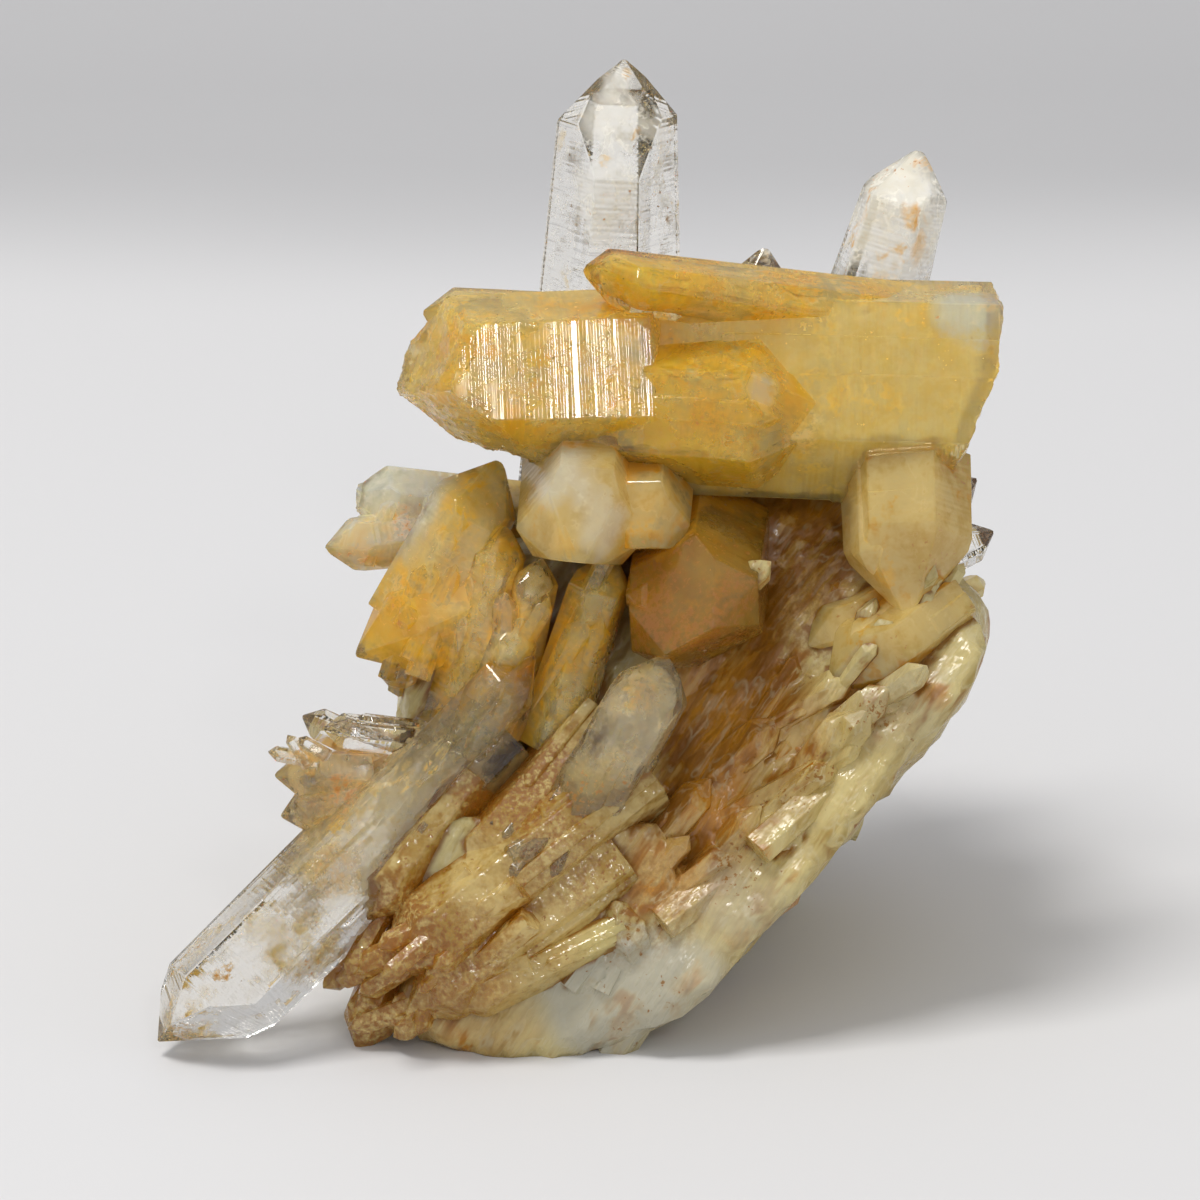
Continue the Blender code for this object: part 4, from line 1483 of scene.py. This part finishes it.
# The pale crystals on the right, between the top ones and the matrix.
RIGHT_CRYSTALS = (
    Crystal(
        (29.0, 13.5, 6), (29.6, -1.8, 2), 12.6, 11.0, 8, (2.0, 1.0, 0, 0, 0.6, 1.6), 0.8,
        look=Look(0.7, 0.2, 0.15), ledges=2,
    ),
    Crystal(
        (33.0, 0.0, 8), (21.8, -8.6, 3), 9.0, 9.6, -6, (1.4, 0.6, 0, 0, 0.6, 1.0), 0.8, look=Look(0.7, 0.25, 0.2),
        ledges=2,
    ),
    Crystal(
        (29.0, 1.0, 10), (20.0, -4.4, 5), 6.0, 7.0, 10, (1.2, 0.8, 0, 0, 0.6, 1.0), 0.8, look=Look(0.6, 0.4, 0.3),
        ledges=1,
    ),
)

# The low crystals that lie along the front of the matrix, half sunk in it.
RIDGE_CRYSTALS = (
    Crystal((9.0, -27.0, 5.6), (15.4, -19.6, 2.0), 3.6, 3.6, 12, (0.5, 0.2, 0, 0, 0, 0.4), 0.6),
    Crystal((21.0, -14.0, 5.0), (27.6, -8.4, 0.6), 3.8, 3.6, 25, (0.5, 0.2, 0, 0, 0, 0.4), 0.6),
    Crystal((14.0, -22.0, 5.0), (23.0, -15.0, 1.2), 3.6, 3.4, 0, (0.5, 0.2, 0, 0, 0, 0.4), 0.4),
    Crystal((4.0, -36.0, 6.0), (1.4, -28.8, 0.2), 5.4, 5.0, 18, (0.9, 0.2, 0, 0, 0, 0.6), 0.8),
    Crystal((0.0, -30.0, 5.0), (10.6, -17.0, 4.2), 4.2, 4.4, 16, (0.6, 0.2, 0, 0, 0, 0.4), 0.4),
    Crystal((3.0, -31.0, 4.4), (13.2, -23.4, 2.6), 3.6, 3.8, -12, (0.6, 0.2, 0, 0, 0, 0.4), 0.4),
    Crystal((8.0, -19.0, 8.0), (17.4, -11.4, 4.4), 4.6, 4.2, 20, (0.6, 0.2, 0, 0, 0, 0.4), 0.4),
    Crystal((16.0, -12.0, 7.0), (24.4, -7.2, 3.0), 3.8, 3.8, 8, (0.6, 0.2, 0, 0, 0, 0.4), 0.4),
)

# The crystals on the back, which no front view shows.
BACK_CRYSTALS = (
    Crystal((10.0, 6.0, 32), (6.0, 24.0, 53), 9.0, 9.4, 8, (1.2, 0.6, 0, 0.4, 2.2, 0.9), 1.4),
    Crystal((16.0, 4.0, 34), (24.0, 21.0, 51), 8.4, 7.6, 20, (0.6, 0.2, 0.8, 1.4, 0.2, 0.4), 1.2),
    Crystal((6.0, 0.0, 32), (-4.0, 18.0, 49), 7.6, 8.2, -8, (0.4, 1.6, 0.2, 0.6, 0.2, 1.0), 1.2),
    Crystal((14.0, -8.0, 34), (27.0, 2.0, 54), 8.6, 8.0, 14, (0.9, 0.2, 1.4, 0.6, 0.2, 0.6), 1.0),
    Crystal((4.0, -12.0, 32), (-11.0, -4.0, 49), 7.4, 7.0, 4, (0.4, 0.8, 0.2, 1.2, 0.4, 0.2), 1.0),
    Crystal((8.0, -16.0, 36), (3.0, -14.0, 58), 9.4, 8.8, -12, (0.6, 0.4, 1.8, 0.2, 0.4, 0.8), 1.0),
    Crystal((14.0, -14.0, 36), (20.0, -13.0, 55), 7.0, 7.4, 9, (0.4, 0.6, 0.2, 1.0, 0.2, 0.6), 1.0),
    Crystal((0.0, -20.0, 32), (-12.0, -20.0, 48), 7.0, 7.2, 22, (0.8, 0.2, 0.6, 0.4, 0.8, 0.2), 1.0),
    Crystal((10.0, -4.0, 34), (12.0, 4.0, 59), 8.0, 8.6, 0, (0.4, 0.8, 0.2, 0.9, 0.2, 1.6), 1.2),
    Crystal((20.0, 8.0, 32), (30.0, 19.0, 45), 6.6, 7.0, -16, (0.4, 0.2, 0.9, 0.2, 0.6, 0.2), 1.0),
)

# The matrix: a slab that leans to the right, the heart that the front crystals grow from, the lump
# behind the top ones and the front foot.
MATRIX = (
    Boulder(
        (14.0, -14.0, 22.0),
        (
            ((0.76, -0.65, 0.04), 12.2),
            ((0.46, -0.89, 0.04), 19.0),
            ((1.00, -0.10, 0.05), 21.6),
            ((0.85, 0.53, 0.10), 25.4),
            ((0.30, 0.95, 0.00), 23.0),
            ((0.00, -0.95, 0.31), 23.4),
            ((-0.28, 0.30, -0.91), 15.6),
            ((0.10, 0.10, 0.98), 22.0),
            ((-0.60, 0.75, 0.00), 13.0),
            ((-0.95, 0.00, 0.10), 23.0),
        ),
        0.07, 3,
    ),
    Boulder(
        (0.0, -10.0, 21.0),
        (
            ((0.00, 0.97, -0.20), 18.0),
            ((-0.70, 0.70, 0.00), 19.0),
            ((-0.95, 0.10, 0.10), 18.0),
            ((0.00, 0.00, -1.00), 13.0),
            ((0.00, 0.10, 1.00), 20.0),
            ((1.00, 0.10, 0.00), 14.0),
            ((0.70, -0.70, 0.00), 22.0),
            ((-0.70, -0.72, 0.00), 26.0),
            ((0.00, -0.95, 0.31), 26.0),
        ),
        0.10, 8,
    ),
    Boulder(
        (13.0, 4.0, 26.0),
        (
            ((-1.00, 0.00, 0.00), 15.0),
            ((1.00, -0.10, 0.00), 16.5),
            ((0.00, 1.00, 0.10), 13.0),
            ((0.00, 0.20, -1.00), 15.0),
            ((0.00, 0.00, 1.00), 16.0),
            ((0.70, 0.70, 0.00), 18.0),
            ((0.00, -1.00, 0.20), 14.0),
            ((0.76, -0.65, 0.00), 13.0),
        ),
        0.14, 21,
    ),
    Boulder(
        (-5.0, -33.0, 12.0),
        (
            ((0.00, -0.10, -1.00), 10.4),
            ((-1.00, 0.00, 0.00), 13.4),
            ((-0.35, -0.94, 0.00), 12.2),
            ((0.46, -0.89, 0.00), 10.9),
            ((1.00, 0.20, 0.00), 13.0),
            ((0.00, 1.00, 0.20), 10.0),
            ((0.00, 0.00, 1.00), 15.0),
            ((0.00, -0.95, 0.31), 14.0),
        ),
        0.07, 33,
    ),
)


@dataclass
class MatrixRock(Group):
    """The milky matrix, with the ridges that lie along its front."""

    boulders: tuple[Boulder, ...] = MATRIX

    def shape(self, grower: Grower) -> bpy.types.Object:
        """Makes the lumps and joins them with the ridges.

        Args:
            grower: What cuts and joins.

        Returns:
            The piece, without a finish.
        """
        lumps = [grower.lumps.cut(boulder, f"lump_{number}") for number, boulder in enumerate(self.boulders)]
        self.piece = grower.join(self.name, lumps + grower.crystals("ridge", self.crystals))
        return self.piece


@dataclass
class Druse(Group):
    """The crystals on the back, and the small ones strewn over the backs of the lumps."""

    seed: int = 11
    wide: tuple[float, float] = (2.2, 4.6)
    long: tuple[float, float] = (1.6, 2.8)
    tilt: float = 0.35
    look: Look = Look(0.55, 0.3, 0.15)
    patches: tuple[tuple[int, Triple, float, int], ...] = (
        (0, (0.0, 0.0, 1.0), 0.60, 16),
        (1, (-0.1, 0.0, 1.0), 0.75, 10),
        (2, (0.0, 1.0, 0.6), 0.55, 18),
        (2, (0.0, 0.0, 1.0), 0.60, 8),
    )

    def strew(
        self, boulder: Boulder, facing: Triple, spread: float, count: int, chance: random.Random,
    ) -> list[Crystal]:
        """Small crystals that stand on one side of a lump, each nearly square to it.

        Args:
            boulder: The lump.
            facing: The way that the side faces.
            spread: How far they stray from it.
            count: How many there are.
            chance: Where their places and sizes come from.

        Returns:
            The crystals.
        """
        grown = []
        for _ in range(count):
            aside = Vector([chance.uniform(-spread, spread) for _ in range(3)])
            outward = (Vector(facing) + aside).normalized()
            wide = chance.uniform(*self.wide)
            foot = Vector(boulder.middle) + outward * (boulder.reach(outward) - wide)
            tilt = Vector([chance.uniform(-self.tilt, self.tilt) for _ in range(3)])
            tip = foot + (outward + tilt) * wide * chance.uniform(*self.long)
            drops = tuple(chance.uniform(0, wide * 0.25) for _ in range(SIDES))
            deep = wide * chance.uniform(0.8, 1.05)
            if spot(*foot).z > wide and spot(*tip).z > wide:
                roll = chance.uniform(0, 60)
                grown.append(Crystal(tuple(foot), tuple(tip), wide, deep, roll, drops, look=self.look, steps=1))
        return grown

    def shape(self, grower: Grower) -> bpy.types.Object:
        """Strews the druse between the bigger crystals, and joins them all.

        Args:
            grower: What cuts and joins.

        Returns:
            The piece, without a finish.
        """
        chance = random.Random(self.seed)
        small = [
            crystal for lump, facing, spread, count in self.patches
            for crystal in self.strew(MATRIX[lump], facing, spread, count, chance)
        ]
        self.crystals = self.crystals + tuple(small)
        return super().shape(grower)


@dataclass
class Studio:
    """A pale floor that sweeps up behind, painted darker further back as shade, a camera at the front view's
    angle, and soft light.
    """

    wide: float = 3.0
    front: float = -1.4
    back: float = 0.42
    bend: float = 0.22
    bend_turn: float = 82.0
    bend_steps: int = 24
    tall: float = 1.3
    lean: float = 0.14
    lens_side: float = 36.0
    near_paper: Triple = (0.68, 0.68, 0.69)
    shaded_far_paper: Triple = (0.50, 0.50, 0.51)
    painted_shade_depths: tuple[float, float] = (280, 390)
    sky: float = 0.62

    def floor(self) -> bpy.types.Object:
        """Makes the floor and its sweep.

        Returns:
            The floor, marked as the stage.
        """
        bm = bmesh.new()
        corner = bm.verts.new((-self.wide / 2, self.front, 0))
        bend = bm.verts.new((-self.wide / 2, self.back, 0))
        edge = bm.edges.new((corner, bend))
        bmesh.ops.spin(
            bm, geom=[bend], cent=(0, self.back, self.bend), axis=(1, 0, 0), dvec=(0, 0, 0),
            angle=math.radians(self.bend_turn), steps=self.bend_steps, use_merge=False, use_duplicate=False,
        )
        profile = bm.edges[:]
        grown = bmesh.ops.extrude_edge_only(bm, edges=profile)
        across = [vert for vert in grown["geom"] if isinstance(vert, bmesh.types.BMVert)]
        bmesh.ops.translate(bm, verts=across, vec=(self.wide, 0, 0))
        top = max(vert.co.z for vert in bm.verts)
        lip = [edge for edge in bm.edges if all(vert.co.z > top - 1e-6 for vert in edge.verts)]
        grown = bmesh.ops.extrude_edge_only(bm, edges=lip)
        raised = [vert for vert in grown["geom"] if isinstance(vert, bmesh.types.BMVert)]
        bmesh.ops.translate(bm, verts=raised, vec=(0, self.tall * self.lean, self.tall))
        bmesh.ops.recalc_face_normals(bm, faces=bm.faces[:])
        for face in bm.faces:
            face.smooth = True
        mesh = bpy.data.meshes.new("paper_floor")
        bm.to_mesh(mesh)
        bm.free()
        floor = bpy.data.objects.new("paper_floor", mesh)
        bpy.context.scene.collection.objects.link(floor)
        board = Board("white_paper")
        here = board.place()
        # The paper is painted darker further back, as painted shade where less light falls, and soft folds shift
        # where the shade begins.
        folds = board.noise(here, 0.006, 1, 0.4)
        depth = Value(board, board.node("ShaderNodeSeparateXYZ", {}, {0: here}).outputs[1])
        shade = board.mix((depth + folds * 60).ramp(*self.painted_shade_depths), self.near_paper, self.shaded_far_paper)
        paper = board.node("ShaderNodeBsdfPrincipled", {}, {"Base Color": shade, "Roughness": 0.85})
        board.node("ShaderNodeOutputMaterial", {}, {"Surface": paper.outputs[0]})
        mesh.materials.append(board.material)
        return floor

    def camera(self) -> bpy.types.Object:
        """Sets up the camera of the front view.

        Returns:
            The camera.
        """
        data = bpy.data.cameras.new("front_camera")
        data.sensor_width = self.lens_side
        data.sensor_fit = "HORIZONTAL"
        data.lens = self.lens_side * LOOK_FROM / VIEW_WIDE
        data.clip_start = 0.01
        camera = bpy.data.objects.new("front_camera", data)
        camera.location = (MIDDLE - AWAY * LOOK_FROM) * MM
        camera.rotation_euler = (math.radians(90) - LOOK_DOWN, 0, 0)
        bpy.context.scene.collection.objects.link(camera)
        bpy.context.scene.camera = camera
        return camera

    def lamp(
        self, name: str, place: Triple, power: float, size: float, colour: Triple = (1, 1, 1),
    ) -> bpy.types.Object:
        """Hangs one soft lamp that shines on the specimen.

        Args:
            name: The lamp's name.
            place: Where it hangs, in metres.
            power: Its power in watts.
            size: The side of its square, in metres.
            colour: The colour of its light.

        Returns:
            The lamp.
        """
        data = bpy.data.lights.new(name, "AREA")
        data.energy = power
        data.size = size
        data.color = colour
        lamp = bpy.data.objects.new(name, data)
        lamp.location = place
        lamp.rotation_euler = (Vector(place) - MIDDLE * MM).to_track_quat("Z", "Y").to_euler()
        bpy.context.scene.collection.objects.link(lamp)
        return lamp

    def light(self) -> None:
        """Sets up the sky light and the lamps."""
        world = bpy.data.worlds.new("soft_room")
        world.use_nodes = True
        backdrop = world.node_tree.nodes["Background"]
        backdrop.inputs["Color"].default_value = (0.98, 0.985, 1.0, 1)
        backdrop.inputs["Strength"].default_value = self.sky
        bpy.context.scene.world = world
        self.lamp("window_lamp", (-0.36, -0.16, 1.36), power=11.8, size=0.46, colour=(1.0, 0.98, 0.95))
        self.lamp("front_lamp", (0.17, -0.72, 0.49), power=0.45, size=0.07)

    def build(self) -> None:
        """Sets up the whole studio."""
        self.floor()
        self.camera()
        self.light()
        bpy.context.scene.view_settings.view_transform = "Standard"
        bpy.context.scene.view_settings.look = "None"
        LOG.info("studio: floor, camera and lamps")


def main() -> None:
    """Builds every piece in order, and writes how big the finished object is."""
    logging.basicConfig(level=logging.INFO, format="%(name)s: %(message)s")
    finder = FrontFinder()
    grower = Grower()
    Studio().build()
    back = tuple(replace(crystal, look=Look(0.5, 0.25, 0.12), ledges=2) for crystal in BACK_CRYSTALS)
    ridges = tuple(replace(ridge, look=Look(0.8, 0.3, 0.3), ledges=2) for ridge in RIDGE_CRYSTALS)
    groups = [
        MatrixRock("milky_matrix", MATRIX_FINISH, ridges, RIDGE_FRINGES),
        Group("spires", CLEAR, SPIRES),
        Group("top_crystals", HONEY, TOP_CRYSTALS),
        Phantom("top_clouds", GOLDEN_CLOUD, TOP_CRYSTALS),
        Group("blunt_crystals", FROSTED, BLUNT_CRYSTALS[:2]),
        Group("stained_crystal", STAINED, BLUNT_CRYSTALS[2:]),
        Group("column_crystals", COLUMNS, COLUMN_CRYSTALS, COLUMN_FRINGES),
        Group("rod_crystals", RODS, CLEAR_RODS + KNOB_CRYSTALS, ROD_FRINGES),
        Group("earthy_crystals", EARTHY, EARTHY_RODS, EARTHY_FRINGES),
        Group("right_crystals", replace(FROSTED, name="pale_quartz", clear_share=0.3), RIGHT_CRYSTALS),
        Phantom("blunt_clouds", PALE_CLOUD, BLUNT_CRYSTALS[:2]),
        Phantom("stained_cloud", BROWN_CLOUD, BLUNT_CRYSTALS[2:]),
        Phantom("column_clouds", YELLOW_CLOUD, COLUMN_CRYSTALS, depth=0.7),
        Phantom("rod_clouds", ROD_CLOUD, CLEAR_RODS + KNOB_CRYSTALS[1:3], depth=0.7),
        Druse("back_crystals", replace(RODS, name="back_quartz", clear_share=0.2), back),
    ]
    for group in groups:
        group.fringe(finder)
    pieces = [group.shape(grower) for group in groups]
    HollowRustAndShade().measure([group.piece for group in groups if not isinstance(group, Phantom)])
    for group in groups:
        group.settle(finder)
    LOG.info("%d pieces with %d faces", len(pieces), sum(len(piece.data.polygons) for piece in pieces))


if __name__ == "__main__":
    main()
